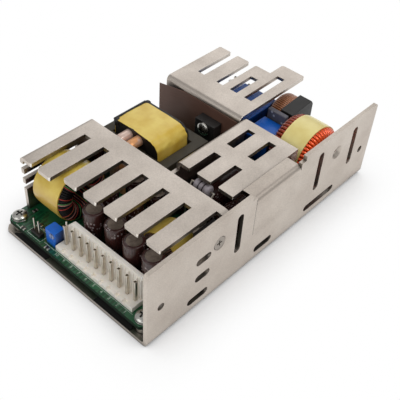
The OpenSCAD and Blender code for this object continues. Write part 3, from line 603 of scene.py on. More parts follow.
# Shrunk PVC sleeve: dark brown and glossy, with length-wise stretch streaks and patches of small pale dashes
# that stand for its printing.
def shrunk_sleeve(name, axis):
    mat = new_material(name)
    where = add_node(mat, "ShaderNodeTexCoord")
    along = (900, 900, 60) if axis == "Z" else (60, 900, 900)
    spaced = (900, 900, 620) if axis == "Z" else (620, 900, 900)
    pulled = add_node(mat, "ShaderNodeMapping", Vector=where.outputs["Object"], Scale=along)
    streak = add_node(mat, "ShaderNodeTexNoise", Vector=pulled.outputs[0], Scale=1.0, Detail=3.0)
    ripple = add_node(mat, "ShaderNodeTexNoise", Vector=where.outputs["Object"], Scale=330.0, Detail=2.0)
    colour = add_node(mat, "ShaderNodeMix", {"data_type": "RGBA"}, Factor=streak.outputs[0],
                      i6=linear("1d0c0b"), i7=linear("4d2a26"))
    rows = add_node(mat, "ShaderNodeMapping", Vector=where.outputs["Object"], Scale=spaced)
    dash = add_node(mat, "ShaderNodeTexVoronoi", {"distance": "CHEBYCHEV"}, Vector=rows.outputs[0], Scale=1.0)
    printed = add_node(mat, "ShaderNodeMath", {"operation": "LESS_THAN"}, i0=dash.outputs["Distance"],
                       i1=0.24)
    column = add_node(mat, "ShaderNodeTexNoise", Vector=where.outputs["Object"], Scale=130.0, Detail=0.0)
    there = add_node(mat, "ShaderNodeMath", {"operation": "GREATER_THAN"}, i0=column.outputs[0], i1=0.5)
    printed = add_node(mat, "ShaderNodeMath", {"operation": "MULTIPLY"}, i0=printed.outputs[0],
                       i1=there.outputs[0])
    faint = add_node(mat, "ShaderNodeMath", {"operation": "MULTIPLY"}, i0=printed.outputs[0], i1=0.55)
    colour = add_node(mat, "ShaderNodeMix", {"data_type": "RGBA"}, Factor=faint.outputs[0],
                      i6=colour.outputs[2], i7=linear("b9adad"))
    uneven = add_node(mat, "ShaderNodeBump", Strength=0.35, Distance=0.0003, Height=ripple.outputs[0])
    skin = add_node(mat, "ShaderNodeBsdfPrincipled", Base_Color=colour.outputs[2], Roughness=0.24,
                    Normal=uneven.outputs[0], Coat_Weight=0.12, Coat_Roughness=0.04)
    add_node(mat, "ShaderNodeOutputMaterial", Surface=skin.outputs[0])
    return mat


upright_sleeve = shrunk_sleeve("brown_pvc_sleeve", "Z")
lying_sleeve = shrunk_sleeve("brown_pvc_sleeve_lying", "X")
# Bare can aluminium: pale, drawn and slightly brushed, greyed by oxide.
can_metal = mottled("drawn_can_aluminium", "5f544c", "96887c", 900.0, 4.0, Metallic=1.0, Roughness=0.4)

out_low, out_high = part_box("output_capacitors")
can_d, can_h = 8.0, (out_high.z - out_low.z) * 1000
sleeve = turned("sleeve", sleeve_profile(can_d, can_h))
top = can_top("can_top", can_d, can_h)
for node, name, places in (
        ("output_capacitors", "output_cans", ((15, 41.4), (15.4, 30.8), (14.6, 20.9), (14.4, 11.6))),
        ("rear_output_capacitors", "rear_cans", ((25, 45.5), (26.6, 34.6), (36.6, 32.4), (36.6, 43)))):
    sleeves = [copy_of(sleeve, at(x, y, board_face * 1000)) for x, y in places]
    tops = [copy_of(top, at(x, y, board_face * 1000)) for x, y in places]
    for i, (piece, (x, y)) in enumerate(zip(tops, places)):
        reshape(piece, bpy.ops.transform.rotate, value=0.5 + i, orient_axis="Z", center_override=at(x, y, 20))
    sleeves = finish_piece(join(name, sleeves), upright_sleeve)
    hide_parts(node)
    finish_piece(join(name + "_tops", tops), can_metal)
for piece in (sleeve, top):
    bpy.data.objects.remove(piece)
# a small can for the control circuit, in the corner between the transformer and the output heatsink
small_d, small_h, small_place = 5, 14, at(41.2, 69.5, board_face * 1000)
small_sleeve = turned("control_can", sleeve_profile(small_d, small_h), 32)
finish_piece(lay_down(small_sleeve, small_place), upright_sleeve)
finish_piece(lay_down(can_top("control_can_top", small_d, small_h), small_place), can_metal)

bulk_low, bulk_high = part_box("bulk_capacitors")
bulk_d, bulk_l = (bulk_high.z - bulk_low.z) * 1000, (bulk_high.x - bulk_low.x) * 1000
sleeves, tops = [], []
for y in (10.1, 24.95):
    place = at((bulk_low.x - low.x) * 1000, y, board_face * 1000 + bulk_d / 2)
    sleeves.append(lay_down(turned("sleeve", sleeve_profile(bulk_d, bulk_l), 64), place, "X"))
    tops.append(lay_down(can_top("can_top", bulk_d, bulk_l), place, "X"))
bulk_sleeves = finish_piece(join("bulk_cans", sleeves), lying_sleeve)
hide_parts("bulk_capacitors")
finish_piece(join("bulk_cans_tops", tops), can_metal)

# ---------------------------------------------------------------- wound chokes
# Powder rings wound by hand with enamelled copper, held by a turn or two of yellow polyester tape. The input
# choke is one even layer of red wire, the output choke many thin strands in parallel.


def ring_of_turns(name, hole_r, r, width, wire_d, turns, corner, phase=0.0):
    """One turn of wire, a rounded loop round the ring's section, copied round the Z axis. Sizes in mm."""
    bpy.ops.object.select_all(action="DESELECT")
    middle = (hole_r + r) / 2000
    bpy.ops.mesh.primitive_plane_add(size=1, location=(middle, 0, 0), rotation=(math.radians(90), 0, 0))
    turn = bpy.context.object
    bpy.ops.object.transform_apply(location=False, rotation=True, scale=False)
    bpy.ops.object.mode_set(mode="EDIT")
    bpy.ops.transform.resize(value=((r - hole_r - wire_d) / 1000, 1, (width - wire_d) / 1000),
                             center_override=(middle, 0, 0))
    bpy.ops.mesh.bevel(offset=corner / 1000, segments=4, affect="VERTICES")
    bpy.ops.mesh.delete(type="ONLY_FACE")
    bpy.ops.object.mode_set(mode="OBJECT")
    bpy.ops.object.convert(target="CURVE")
    turn = bpy.context.object
    turn.data.bevel_depth = wire_d / 2000
    turn.data.bevel_resolution = 1
    bpy.ops.object.convert(target="MESH")
    turn = bpy.context.object
    turn.name = name
    bpy.ops.object.transform_apply(location=True, rotation=True, scale=True)
    bpy.ops.object.mode_set(mode="EDIT")
    bpy.ops.mesh.select_all(action="SELECT")
    bpy.ops.transform.rotate(value=phase, orient_axis="Z", center_override=(0, 0, 0))
    bpy.ops.mesh.spin(steps=turns - 1, dupli=True, angle=2 * math.pi * (turns - 1) / turns, center=(0, 0, 0),
                      axis=(0, 0, 1))
    bpy.ops.object.mode_set(mode="OBJECT")
    bpy.ops.object.shade_smooth()
    return turn


def crease(piece, grain, height, middle):
    """Wrinkles a piece with a cloud pattern of that grain and height in metres."""
    only(piece)
    clouds = bpy.data.textures.new(piece.name + "_creases", "CLOUDS")
    clouds.noise_scale = grain
    clouds.noise_depth = 2
    wrinkles = piece.modifiers.new("creases", "DISPLACE")
    wrinkles.texture = clouds
    wrinkles.texture_coords = "LOCAL"
    wrinkles.strength = height
    wrinkles.mid_level = middle
    bpy.ops.object.modifier_apply(modifier=wrinkles.name)


def band(name, r, width):
    """A loop of tape round the Z axis, bulged in the middle, thinly wrinkled, with its edges turned in."""
    bulge, half = 0.15, width / 2
    profile = [(r - 0.7, -half), (r - 0.15, -half)]
    profile += [(r - 0.15 + bulge * (1 - part ** 2) ** 0.5, part * half)
                for part in (-0.9, -0.6, -0.3, 0, 0.3, 0.6, 0.9)]
    profile += [(r - 0.15, half), (r - 0.7, half)]
    tape = turned(name, profile, 120)
    crease(tape, 0.0035, 0.00012, 0.8)
    bpy.ops.object.shade_smooth_by_angle(angle=math.radians(50))
    return tape


# Yellow polyester tape: a clear tinted film with a shiny face, darker where layers or the wire below show
# through, with painted shade that makes its upright sides browner, and rippled from being pulled tight. The
# input choke has a paler roll.
def polyester_tape(name, light, dark, shaded_side_colour):
    mat = new_material(name)
    where = add_node(mat, "ShaderNodeTexCoord")
    below = add_node(mat, "ShaderNodeTexNoise", Vector=where.outputs["Object"], Scale=160.0, Detail=3.0)
    streaks = add_node(mat, "ShaderNodeTexNoise", Vector=where.outputs["Object"], Scale=700.0, Detail=3.0)
    deep = add_node(mat, "ShaderNodeMapRange", Value=below.outputs[0], From_Min=0.35, From_Max=0.7)
    colour = add_node(mat, "ShaderNodeMix", {"data_type": "RGBA"}, Factor=deep.outputs[0], i6=linear(light),
                      i7=linear(dark))
    # painted shade: faces that stand upright take the browner side colour
    upright = add_node(mat, "ShaderNodeSeparateXYZ", Vector=where.outputs["Normal"])
    painted_side_shade = add_node(mat, "ShaderNodeMapRange", Value=upright.outputs[2], From_Min=0.45, From_Max=-0.1,
                         To_Max=0.4)
    colour = add_node(mat, "ShaderNodeMix", {"data_type": "RGBA"}, Factor=painted_side_shade.outputs[0],
                      i6=colour.outputs[2], i7=linear(shaded_side_colour))
    pulled = add_node(mat, "ShaderNodeMix", {"data_type": "FLOAT"}, Factor=0.35, i2=below.outputs[0],
                      i3=streaks.outputs[0])
    cockle = add_node(mat, "ShaderNodeBump", Strength=0.45, Distance=0.0004, Height=pulled.outputs[0])
    polyester = add_node(mat, "ShaderNodeBsdfPrincipled", Base_Color=colour.outputs[2], Roughness=0.3,
                         Normal=cockle.outputs[0], Coat_Weight=0.25, Coat_Roughness=0.15)
    add_node(mat, "ShaderNodeOutputMaterial", Surface=polyester.outputs[0])
    return mat


tape_film = polyester_tape("yellow_polyester_tape", "f0d468", "dfba44", "b9811f")
pale_tape = polyester_tape("pale_polyester_tape", "f6e79a", "ecd887", "cfa94a")


# Enamelled copper wire: a hard glossy varnish over the metal, with painted shade that makes it deeper in tone
# between the turns.
def enamel(name, light, dark, rough=0.22, gloss=0.8):
    mat = new_material(name)
    where = add_node(mat, "ShaderNodeTexCoord")
    batch = add_node(mat, "ShaderNodeTexNoise", Vector=where.outputs["Object"], Scale=260.0, Detail=2.0)
    # painted shade between the turns, mixed below with a random tone
    hidden = add_node(mat, "ShaderNodeAmbientOcclusion", {"samples": 6}, Distance=0.0012)
    painted_gap_shade = add_node(mat, "ShaderNodeMapRange", Value=hidden.outputs["AO"], From_Min=0.3, From_Max=0.9)
    tone_and_painted_shade = add_node(mat, "ShaderNodeMath", {"operation": "MULTIPLY_ADD"}, i0=batch.outputs[0], i1=0.5,
                      i2=painted_gap_shade.outputs[0])
    colour = add_node(mat, "ShaderNodeMix", {"data_type": "RGBA", "clamp_factor": True},
                      Factor=tone_and_painted_shade.outputs[0], i6=linear(dark), i7=linear(light))
    varnish = add_node(mat, "ShaderNodeBsdfPrincipled", Base_Color=colour.outputs[2], Roughness=rough,
                       Metallic=0.35, Coat_Weight=gloss, Coat_Roughness=0.08)
    add_node(mat, "ShaderNodeOutputMaterial", Surface=varnish.outputs[0])
    return mat


def centre_of(node):
    near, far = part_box(node)
    return (near + far) / 2


def ring_size(node, axis):
    """The outer radius and the width in mm of a ring whose axis is X or Y."""
    near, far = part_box(node)
    if axis == "X":
        return (far.z - near.z) * 500, (far.x - near.x) * 1000
    return (far.x - near.x) * 500, (far.y - near.y) * 1000


def one_layer(name, node, axis, hole_r, wire_d, count, corner, wire):
    """A winding of one wire in place of its node."""
    r, width = ring_size(node, axis)
    turns = ring_of_turns(name, hole_r, r, width, wire_d, count, corner)
    finish_piece(lay_down(turns, centre_of(node), axis), wire)
    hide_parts(node)


def ring_core(name, node, axis, hole_r, end, corner, arc_r, arc_steps=6, steps=64):
    """The powder ring inside a winding, with rounded outer edges. Sizes in mm."""
    r, width = ring_size(node, axis)
    top, foot = width / 2, -width / 2
    core = turned(name, [(hole_r, foot + end), (hole_r, top - end)]
                  + arc(r - corner, top - corner, arc_r, 90, 0, arc_steps)
                  + arc(r - corner, foot + corner, arc_r, 0, -90, arc_steps) + [(hole_r, foot + end)], steps)
    finish_piece(lay_down(core, centre_of(node), axis), core_paint)


def wound_tape(name, node, axis, winding, film, narrower=0):
    """The band of tape round a winding in place of its node, and narrower than it by some mm."""
    tape = band(name, ring_size(winding, axis)[0] + 0.4, ring_size(node, axis)[1] - narrower)
    finish_piece(lay_down(tape, centre_of(node), axis), film)
    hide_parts(node)


# Epoxy coated iron powder: a dull black skin with orange peel.
core_paint = mottled("black_core_epoxy", "0c0a0a", "241c1a", 1200.0, 2.0, (0.4, 0.0001), Roughness=0.4)


# the power factor choke: red wire in one layer on a black ring
red_wire = enamel("red_enamelled_copper", "ff5c14", "5e0a02", 0.2, 0.45)
# the turns get darker towards the side that faces the film capacitors
where = add_node(red_wire, "ShaderNodeTexCoord")
along = add_node(red_wire, "ShaderNodeSeparateXYZ", Vector=where.outputs["Object"])
pfc_middle = centre_of("pfc_choke_winding").y
darker_towards_film = add_node(red_wire, "ShaderNodeMapRange", Value=along.outputs[1], From_Min=pfc_middle,
                   From_Max=pfc_middle + 0.006, To_Min=1.0, To_Max=0.3)
darken(red_wire, darker_towards_film.outputs[0])
one_layer("power_factor_turns", "pfc_choke_winding", "Y", 5.2, 1.6, 52, 3.2, red_wire)
ring_core("power_factor_core", "pfc_choke_winding", "Y", 5.9, 1.5, 3.6, 2.5)
wound_tape("power_factor_tape", "pfc_choke_tape", "Y", "pfc_choke_winding", pale_tape, 3)

# the output choke: bunches of fine red, green and dark strands, mostly dark in the shade under the heatsink
out_r, out_w = ring_size("output_choke_winding", "Y")
middle = centre_of("output_choke_winding")
for name, count, wire_d, phase, light, dark, slot in (
        ("output_strands_dark", 70, 0.8, 0.0, "0d0706", "020101", "dark_winding"),
        ("output_strands_red", 14, 0.42, 0.06, "b04238", "200604", "red_winding"),
        ("output_strands_green", 9, 0.36, 0.16, "5f9c58", "0a1c0c", "green_laminate"),
        ("output_strands_pink", 7, 0.38, 0.31, "d0938a", "381616", "brown_winding")):
    grow = 0.0 if name.endswith("dark") else 0.12
    strands = ring_of_turns(name, 4.4 - grow, out_r - 0.05 + grow, out_w - 0.3 + 2 * grow, wire_d, count, 2.9,
                            phase=phase)
    finish_piece(lay_down(strands, middle, "Y"), enamel(name + "_enamel", light, dark, 0.45, 0.0))
    if name.endswith("dark"):
        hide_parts("output_choke_winding")
ring_core("output_core", "output_choke_winding", "Y", 5.2, 1.3, 3.4, 2.4)
wound_tape("output_choke_band", "output_choke_tape", "Y", "output_choke_winding", tape_film)

# the filter inductor by the wall: dark strands, a wide yellow band
dark_wire = enamel("brown_enamelled_copper", "5a3a28", "120a06")
one_layer("filter_turns", "filter_inductor_winding", "X", 3.0, 0.95, 52, 2.3, dark_wire)
ring_core("filter_core", "filter_inductor_winding", "X", 3.8, 1.2, 2.8, 2, 5, 48)
wound_tape("filter_band", "filter_inductor_tape", "X", "filter_inductor_winding", tape_film)

# ---------------------------------------------------------------- transformer
# Two E shaped ferrite halves lie flat and close round a black moulded bobbin. Its winding is wrapped in
# yellow tape that laps over one flange, and two bundles of bare copper strand leave it over the yoke for the
# board.

# Sintered ferrite: matt charcoal, slightly brown, ground flat, with fine pores and chalky bloom.
ferrite = mottled("sintered_ferrite", "252017", "474030", 240.0, 3.0, (0.35, 0.00006), (2200.0, 4.0),
                  Roughness=0.58)
finish_piece(from_cad("transformer_core", "ferrite_core", 0.35), ferrite)

# Moulded phenolic: black, half matt, with a faint flow pattern from the mould.
phenolic = mottled("black_moulded_phenolic", "0a0909", "1f1b19", 500.0, 4.0, (0.2, 0.00008),
                   rough=(0.34, 0.55))
finish_piece(from_cad("transformer_bobbin", "moulded_bobbin", 0.25), phenolic)

# the tape round the winding: a loop of film, swollen a little in the middle and creased at the edges
coil_low, coil_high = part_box("transformer_winding")
coil_size = coil_high - coil_low
coil_middle = (coil_high + coil_low) / 2
overlap, far_overlap = 0.0011, 0.0001
wrap_length = coil_size.x + overlap + far_overlap
clearance, corner_r, far_corner_r, film_t = 0.0002, 0.0048, 0.0016, 0.00025
bpy.ops.object.select_all(action="DESELECT")
bpy.ops.mesh.primitive_plane_add(size=1, location=(0, 0, 0), rotation=(0, math.radians(90), 0))
wrap = bpy.context.object
wrap.name = "transformer_wrap"
bpy.ops.object.transform_apply(location=True, rotation=True, scale=True)
bpy.ops.object.mode_set(mode="EDIT")
bpy.ops.transform.resize(value=(1, coil_size.y + clearance, coil_size.z + clearance),
                         center_override=(0, 0, 0))
bpy.ops.mesh.select_all(action="DESELECT")
bpy.ops.object.mode_set(mode="OBJECT")
for vertex in wrap.data.vertices:
    vertex.select = vertex.co.y < 0
bpy.ops.object.mode_set(mode="EDIT")
bpy.ops.mesh.select_mode(type="VERT")
bpy.ops.mesh.bevel(offset=corner_r, segments=10, affect="VERTICES")
bpy.ops.mesh.select_all(action="DESELECT")
bpy.ops.object.mode_set(mode="OBJECT")
widest = max(v.co.y for v in wrap.data.vertices)
for vertex in wrap.data.vertices:
    vertex.select = vertex.co.y > widest - 0.0001
bpy.ops.object.mode_set(mode="EDIT")
bpy.ops.mesh.bevel(offset=far_corner_r, segments=5, affect="VERTICES")
bpy.ops.mesh.select_all(action="SELECT")
bpy.ops.mesh.delete(type="ONLY_FACE")
bpy.ops.mesh.select_all(action="SELECT")
bpy.ops.transform.translate(value=(-wrap_length / 2, 0, 0))
steps = 14
for step in range(steps):
    bpy.ops.mesh.extrude_region_move(TRANSFORM_OT_translate={"value": (wrap_length / steps, 0, 0)})
bpy.ops.mesh.select_all(action="SELECT")
bpy.ops.mesh.normals_make_consistent(inside=False)
bpy.ops.mesh.subdivide(number_cuts=1)
bpy.ops.object.mode_set(mode="OBJECT")
half = wrap_length / 2
for vertex in wrap.data.vertices:
    across = vertex.co.x / half
    outwards = Vector((0, vertex.co.y, vertex.co.z)).normalized()
    ripple = math.sin(vertex.co.y * 2300 + vertex.co.z * 1700) * 0.00009 * abs(across) ** 3
    vertex.co += outwards * (0.0003 * (1 - across ** 2) + 0.00022 + ripple)
    vertex.co.x += 0.0003 * math.sin(vertex.co.y * 420 + vertex.co.z * 160) * abs(across) ** 4
film_wall = wrap.modifiers.new("film", "SOLIDIFY")
film_wall.thickness = film_t
film_wall.offset = -1
only(wrap)
bpy.ops.object.modifier_apply(modifier=film_wall.name)
crease(wrap, 0.0028, 0.00035, 0.7)
bpy.ops.object.shade_smooth_by_angle(angle=math.radians(55))
lay_down(wrap, coil_middle + Vector(((far_overlap - overlap) / 2, 0, 0)))
finish_piece(wrap, tape_film)
# the turns of tape under the outer one, seen at the open ends
filling = from_cad("transformer_winding", "winding_under_tape", 0.2)
reshape(filling, bpy.ops.transform.resize, value=(0.985, 0.965, 0.965), center_override=coil_middle)
finish_piece(filling, tape_film)

# two rounded posts of the bobbin at the corners away from the side wall, and the rail that joins them
posts = []
for x in (coil_low.x - overlap / 2, coil_high.x + overlap / 2):
    post = turned("post", [(0, 0), (1.4, 0), (1.4, 1.6)] + arc(0.4, 1.6, 1.0, 0, 90, 6) + [(0, 2.6)], 24)
    posts.append(lay_down(post, Vector((x, coil_high.y - 0.0006, coil_high.z - 0.0022))))
rail_r = 0.75
rail = turned("rail", [(0, 0), (rail_r, 0), (rail_r, wrap_length * 1000), (0, wrap_length * 1000)], 24)
posts.append(lay_down(rail, Vector((coil_low.x - overlap, coil_high.y + 0.0002, coil_high.z - 0.0003)), "X"))
finish_piece(join("bobbin_posts", posts), phenolic)

# The two lead bundles: strands of bare annealed copper pressed into one round lead under a film of flux, pink
# where they are bright, orange in the hollows and towards the wall.
bare_copper = new_material("annealed_copper_strand")
where = add_node(bare_copper, "ShaderNodeTexCoord")
flux = add_node(bare_copper, "ShaderNodeTexNoise", Vector=where.outputs["Object"], Scale=420.0, Detail=4.0)
side = add_node(bare_copper, "ShaderNodeSeparateXYZ", Vector=where.outputs["Object"])
lead_low, lead_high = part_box("transformer_leads")
towards = add_node(bare_copper, "ShaderNodeMapRange", Value=side.outputs[1], From_Min=lead_high.y - 0.0045,
                   From_Max=lead_low.y + 0.0045, To_Min=-0.12, To_Max=0.16)
stain = add_node(bare_copper, "ShaderNodeMath", {"operation": "ADD"}, i0=flux.outputs[0],
                 i1=towards.outputs[0])
stain = add_node(bare_copper, "ShaderNodeMapRange", Value=stain.outputs[0], From_Min=0.4, From_Max=0.65)
colour = add_node(bare_copper, "ShaderNodeMix", {"data_type": "RGBA"}, Factor=stain.outputs[0],
                  i6=linear("ecd0c2"), i7=linear("eeaa70"))
long_way = add_node(bare_copper, "ShaderNodeMapping", Vector=where.outputs["Object"], Scale=(90, 1300, 1300))
strands = add_node(bare_copper, "ShaderNodeTexNoise", Vector=long_way.outputs[0], Scale=1.0, Detail=1.0)
strand_bump = add_node(bare_copper, "ShaderNodeBump", Strength=0.6, Distance=0.0004,
                       Height=strands.outputs[0])
metal = add_node(bare_copper, "ShaderNodeBsdfPrincipled", Base_Color=colour.outputs[2], Metallic=0.35,
                 Roughness=0.3, Normal=strand_bump.outputs[0])
add_node(bare_copper, "ShaderNodeOutputMaterial", Surface=metal.outputs[0])
finish_piece(from_cad("transformer_leads", "transformer_lead_bundles", 0.5, 3), bare_copper)

# ---------------------------------------------------------------- power semiconductors
# Moulded packages held flat against the heatsinks: the switching transistor on the brown film at the input
# heatsink, the rectifier behind the side wall, and the bridge on the far side of the input heatsink's wall.

# Epoxy moulding compound: black and finely matt from the mould.
moulding = mottled("black_epoxy_moulding", "151313", "302c2a", 2600.0, 3.0, (0.3, 0.00005), Roughness=0.5)
for node, name in (("power_transistor", "switching_transistor"), ("output_rectifier", "wall_rectifier"),
                   ("bridge_rectifier", "bridge_package")):
    finish_piece(from_cad(node, name, 0.3), moulding)

# Brown insulating film: a tinted polyester sheet, satin, faintly clouded and streaked where it was drawn.
brown_film = new_material("brown_polyester_film")
where = add_node(brown_film, "ShaderNodeTexCoord")
haze = add_node(brown_film, "ShaderNodeTexNoise", Vector=where.outputs["Object"], Scale=120.0, Detail=3.0)
lines = add_node(brown_film, "ShaderNodeMapping", Vector=where.outputs["Object"], Scale=(300, 40, 1500))
drawn_lines = add_node(brown_film, "ShaderNodeTexNoise", Vector=lines.outputs[0], Scale=1.0)
both = add_node(brown_film, "ShaderNodeMix", {"data_type": "FLOAT"}, Factor=0.3, i2=haze.outputs[0],
                i3=drawn_lines.outputs[0])
colour = add_node(brown_film, "ShaderNodeMix", {"data_type": "RGBA"}, Factor=both.outputs[0],
                  i6=linear("573a2f"), i7=linear("785a4d"))
sheen = add_node(brown_film, "ShaderNodeBsdfPrincipled", Base_Color=colour.outputs[2], Roughness=0.4)
add_node(brown_film, "ShaderNodeOutputMaterial", Surface=sheen.outputs[0])
finish_piece(from_cad("insulating_sheet", "brown_film_sheet", 0.05), brown_film)

# ---------------------------------------------------------------- output connector
# A ten pin friction lock header: a moulded white nylon base and back wall, with square pins pushed through it
# in one row. The mains header at the other end is of the same kind.

# Moulded nylon: ivory white, softly translucent, half matt, with faint sink marks.
nylon = new_material("white_moulded_nylon")
where = add_node(nylon, "ShaderNodeTexCoord")
sink = add_node(nylon, "ShaderNodeTexNoise", Vector=where.outputs["Object"], Scale=240.0, Detail=3.0)
grain = add_node(nylon, "ShaderNodeTexNoise", Vector=where.outputs["Object"], Scale=2400.0)
colour = add_node(nylon, "ShaderNodeMix", {"data_type": "RGBA"}, Factor=sink.outputs[0], i6=linear("fbf3e6"),
                  i7=linear("fffaf2"))
both = add_node(nylon, "ShaderNodeMix", {"data_type": "FLOAT"}, Factor=0.5, i2=sink.outputs[0],
                i3=grain.outputs[0])
soft_bump = add_node(nylon, "ShaderNodeBump", Strength=0.2, Distance=0.0001, Height=both.outputs[0])
body = add_node(nylon, "ShaderNodeBsdfPrincipled", Base_Color=colour.outputs[2], Roughness=0.42,
                Subsurface_Weight=0.12, Subsurface_Scale=0.0008, Subsurface_Radius=(1.0, 0.8, 0.6),
                Normal=soft_bump.outputs[0])
add_node(nylon, "ShaderNodeOutputMaterial", Surface=body.outputs[0])
finish_piece(from_cad("header_housing", "output_header_housing", 0.15), nylon)
finish_piece(from_cad("inlet_housing", "mains_header_housing", 0.15), nylon)

# the back wall's grip ribs, two behind each pin
ribs = []
rib_w, rib_h = 0.5, 11.4
rib_x = (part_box("header_housing")[1].x - low.x) * 1000 - 2.2
for i in range(pin_count):
    for side in (-1.25, 0.75):
        ribs.append(strip("rib", (rib_x, pin_one_y + i * pin_pitch + side), (rib_w, rib_w), rib_h))
header_ribs = join("output_header_ribs", ribs)
round_edges(header_ribs, 0.12)
finish_piece(header_ribs, nylon)

# Tin plated brass: silvery and smooth on the sides. Where the wire was cut off, the brass shows dull and
# brown.
pin_tin = mottled("tin_plated_brass", "b9b1a4", "ddd6ca", 600.0, 3.0, Metallic=1.0, Roughness=0.3)
cut_brass = mottled("cut_brass_end", "2c2419", "6a5a3f", 1800.0, 3.0, Metallic=0.6, Roughness=0.5)
for node, name in (("header_pins", "output_pins"), ("inlet_pins", "mains_pins"),
                   ("jumper_pins", "jumper_posts")):
    pins = from_cad(node, name, 0.16, 1)
    finish_piece(pins, pin_tin)
    pins.data.materials.append(cut_brass)
    tip = max(v.co.z for v in pins.data.vertices)
    for face in pins.data.polygons:
        if face.normal.z > 0.9 and face.center.z > tip - 0.0001:
            face.material_index = 1

# ---------------------------------------------------------------- trimmer and jumper
# A blue square trimming resistor with a pale screw in its side, which turns, and beside it a two pin strip on
# a black base.

# Glass filled blue plastic: smooth, even, half glossy, with a paler bloom where it flowed in the mould, and
# painted shade that makes it nearly black where the boxes stand close together.
blue_plastic = mottled("blue_moulded_polyester", "0757bb", "1078ea", 380.0, 3.0, (0.15, 0.00006),
                       (2200.0, 2.0), Roughness=0.32)
# painted shade in the gaps between the boxes
darken(blue_plastic, painted_hollow_shade(blue_plastic, 0.012, 0.25, 0.75, 0.12))
finish_piece(from_cad("trimmer_body", "trimmer_case", 0.4, 3), blue_plastic)
# The adjusting screw: pale blue-grey nylon, with painted shade that darkens its slot.
pale_nylon = mottled("grey_blue_nylon_screw", "6f83b4", "a4b1d2", 2400.0, Roughness=0.4)
# painted shade in the slot
darken(pale_nylon, painted_hollow_shade(pale_nylon, 0.0006, 0.4, 0.85, 0.1))
finish_piece(from_cad("trimmer_rotor", "trimmer_screw", 0.08), pale_nylon, "trimmer_rotor")
finish_piece(from_cad("jumper_base", "jumper_strip", 0.2), phenolic)

# ---------------------------------------------------------------- film capacitors and mains parts
# Two blue boxed film capacitors potted in resin, a grey sleeved part between them and the line choke, which
# is a copper wound ring standing on a moulded foot behind a black plate; then a fuse and two discs.

for node, name in (("film_capacitor_a", "film_box_long"), ("film_capacitor_b", "film_box_short")):
    finish_piece(from_cad(node, name, 0.5, 3), blue_plastic)

# Grey silicone sleeve: soft, matt, rubbed glossy in patches, with white specks of adhesive.
silicone = new_material("grey_silicone_rubber")
where = add_node(silicone, "ShaderNodeTexCoord")
rub = add_node(silicone, "ShaderNodeTexNoise", Vector=where.outputs["Object"], Scale=320.0, Detail=4.0)
blobs = add_node(silicone, "ShaderNodeTexVoronoi", Vector=where.outputs["Object"], Scale=330.0)
near_blob = add_node(silicone, "ShaderNodeMapRange", Value=blobs.outputs["Distance"], From_Min=0.12,
                     From_Max=0.2, To_Min=1.0, To_Max=0.0)
colour = add_node(silicone, "ShaderNodeMix", {"data_type": "RGBA"}, Factor=rub.outputs[0],
                  i6=linear("4d4c54"), i7=linear("6f6d76"))
colour = add_node(silicone, "ShaderNodeMix", {"data_type": "RGBA"}, Factor=near_blob.outputs[0],
                  i6=colour.outputs[2], i7=linear("b4b8c0"))
rough = add_node(silicone, "ShaderNodeMapRange", Value=rub.outputs[0], To_Min=0.7, To_Max=0.4)
rub_bump = add_node(silicone, "ShaderNodeBump", Strength=0.5, Distance=0.0003, Height=rub.outputs[0])
rubber = add_node(silicone, "ShaderNodeBsdfPrincipled", Base_Color=colour.outputs[2],
                  Roughness=rough.outputs[0], Normal=rub_bump.outputs[0])
add_node(silicone, "ShaderNodeOutputMaterial", Surface=rubber.outputs[0])
finish_piece(from_cad("standby_block", "sleeved_part", 0.5, 3), silicone)

finish_piece(from_cad("line_choke_carrier", "line_choke_plate", 0.5, 3), phenolic)
copper_wire = enamel("clear_enamelled_copper", "b87a55", "3a1c0e", 0.3)
one_layer("line_choke_turns", "line_choke_winding", "Y", 4.0, 0.9, 66, 2.0, copper_wire)
ring_core("line_choke_core", "line_choke_winding", "Y", 4.7, 1, 2.6, 1.9, 5, 48)


def near_end(node):
    """The middle of the near end of a node that lies along Y."""
    near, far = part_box(node)
    return Vector(((near.x + far.x) / 2, near.y, (near.z + far.z) / 2))


# Glazed ceramic tube for the fuse, with two plated caps.
ceramic = mottled("fuse_ceramic", "cfcac0", "ebe7de", 900.0, 3.0, Roughness=0.25)
near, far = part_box("fuse")
fuse_l, fuse_r = (far.y - near.y) * 1000, (far.z - near.z) * 500
tube_r, cap_l = fuse_r - 0.3, 4.4
tube = turned("fuse_tube", [(0, 0.3), (tube_r, 0.3), (tube_r, fuse_l - 0.3), (0, fuse_l - 0.3)], 32)
place = near_end("fuse")
finish_piece(lay_down(tube, place, "Y"), ceramic)
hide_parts("fuse")
cap = turned("cap", [(0, 0)] + arc(fuse_r - 0.4, 0.4, 0.4, -90, 0, 3)
             + [(fuse_r, cap_l - 0.2), (fuse_r - 0.25, cap_l), (0, cap_l)], 32)
other = turned("cap", [(0, fuse_l - cap_l), (fuse_r - 0.25, fuse_l - cap_l), (fuse_r, fuse_l - cap_l + 0.2)]
               + arc(fuse_r - 0.4, fuse_l - 0.4, 0.4, 0, 90, 3) + [(0, fuse_l)], 32)
caps = join("fuse_caps", [lay_down(cap, place, "Y"), lay_down(other, place, "Y")])
finish_piece(caps, zinc)

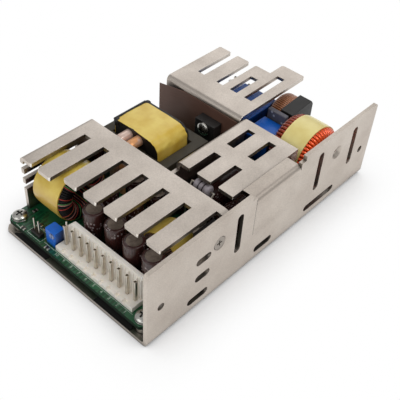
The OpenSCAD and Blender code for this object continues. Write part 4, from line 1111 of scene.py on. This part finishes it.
# Dipped epoxy on the two discs: thick glossy paint with runs.
for node, name, light, dark, slot in (
        ("varistor", "varistor_disc", "2c5aa6", "16336c", "blue_epoxy"),
        ("inrush_thermistor", "thermistor_disc", "3a3d38", "191b18", "dark_epoxy")):
    near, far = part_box(node)
    r, t = (far.x - near.x) * 500, (far.y - near.y) * 1000
    disc = turned(name, [(0, 0)] + arc(r - 1.4, 1.4, 1.4, -90, 0, 6) + arc(r - 1.4, t - 1.4, 1.4, 0, 90, 6)
                  + [(0, t)], 40)
    dipped = mottled(name + "_epoxy", dark, light, 300.0, 2.0, (0.5, 0.0004), Roughness=0.25)
    finish_piece(lay_down(disc, near_end(node), "Y"), dipped)
    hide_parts(node)

# a lacquered resistor between the heatsinks, with swollen ends and two dark bands, on tinned leads
near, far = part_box("axial_resistor")
res_l, res_r = (far.y - near.y) * 1000, (far.z - near.z) * 500
body = turned("resistor_body", [(0, 0), (res_r - 0.8, 0)] + arc(res_r - 0.8, 0.8, 0.8, -90, 0, 4)
              + [(res_r, 1.5), (res_r - 0.3, 2.0), (res_r - 0.3, res_l - 2.0), (res_r, res_l - 1.5)]
              + arc(res_r - 0.8, res_l - 0.8, 0.8, 0, 90, 4) + [(0, res_l)], 40)
lacquer = new_material("lavender_resistor_lacquer")
where = add_node(lacquer, "ShaderNodeTexCoord")
along = add_node(lacquer, "ShaderNodeSeparateXYZ", Vector=where.outputs["Object"])
rings = []
for start in (0.0026, 0.0046):
    inside = add_node(lacquer, "ShaderNodeMath", {"operation": "COMPARE"}, i0=along.outputs[1],
                      i1=near.y + start, i2=0.00028)
    rings.append(inside)
ring = add_node(lacquer, "ShaderNodeMath", {"operation": "MAXIMUM"}, i0=rings[0].outputs[0],
                i1=rings[1].outputs[0])
speckle = add_node(lacquer, "ShaderNodeTexNoise", Vector=where.outputs["Object"], Scale=800.0, Detail=3.0)
colour = add_node(lacquer, "ShaderNodeMix", {"data_type": "RGBA"}, Factor=speckle.outputs[0],
                  i6=linear("8e868d"), i7=linear("b3abb0"))
colour = add_node(lacquer, "ShaderNodeMix", {"data_type": "RGBA"}, Factor=ring.outputs[0],
                  i6=colour.outputs[2], i7=linear("3a2f34"))
coat = add_node(lacquer, "ShaderNodeBsdfPrincipled", Base_Color=colour.outputs[2], Roughness=0.35)
add_node(lacquer, "ShaderNodeOutputMaterial", Surface=coat.outputs[0])
finish_piece(lay_down(body, near_end("axial_resistor"), "Y"), lacquer)
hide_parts("axial_resistor")
finish_piece(from_cad("axial_leads", "resistor_leads", 0.05, 1), pin_tin)
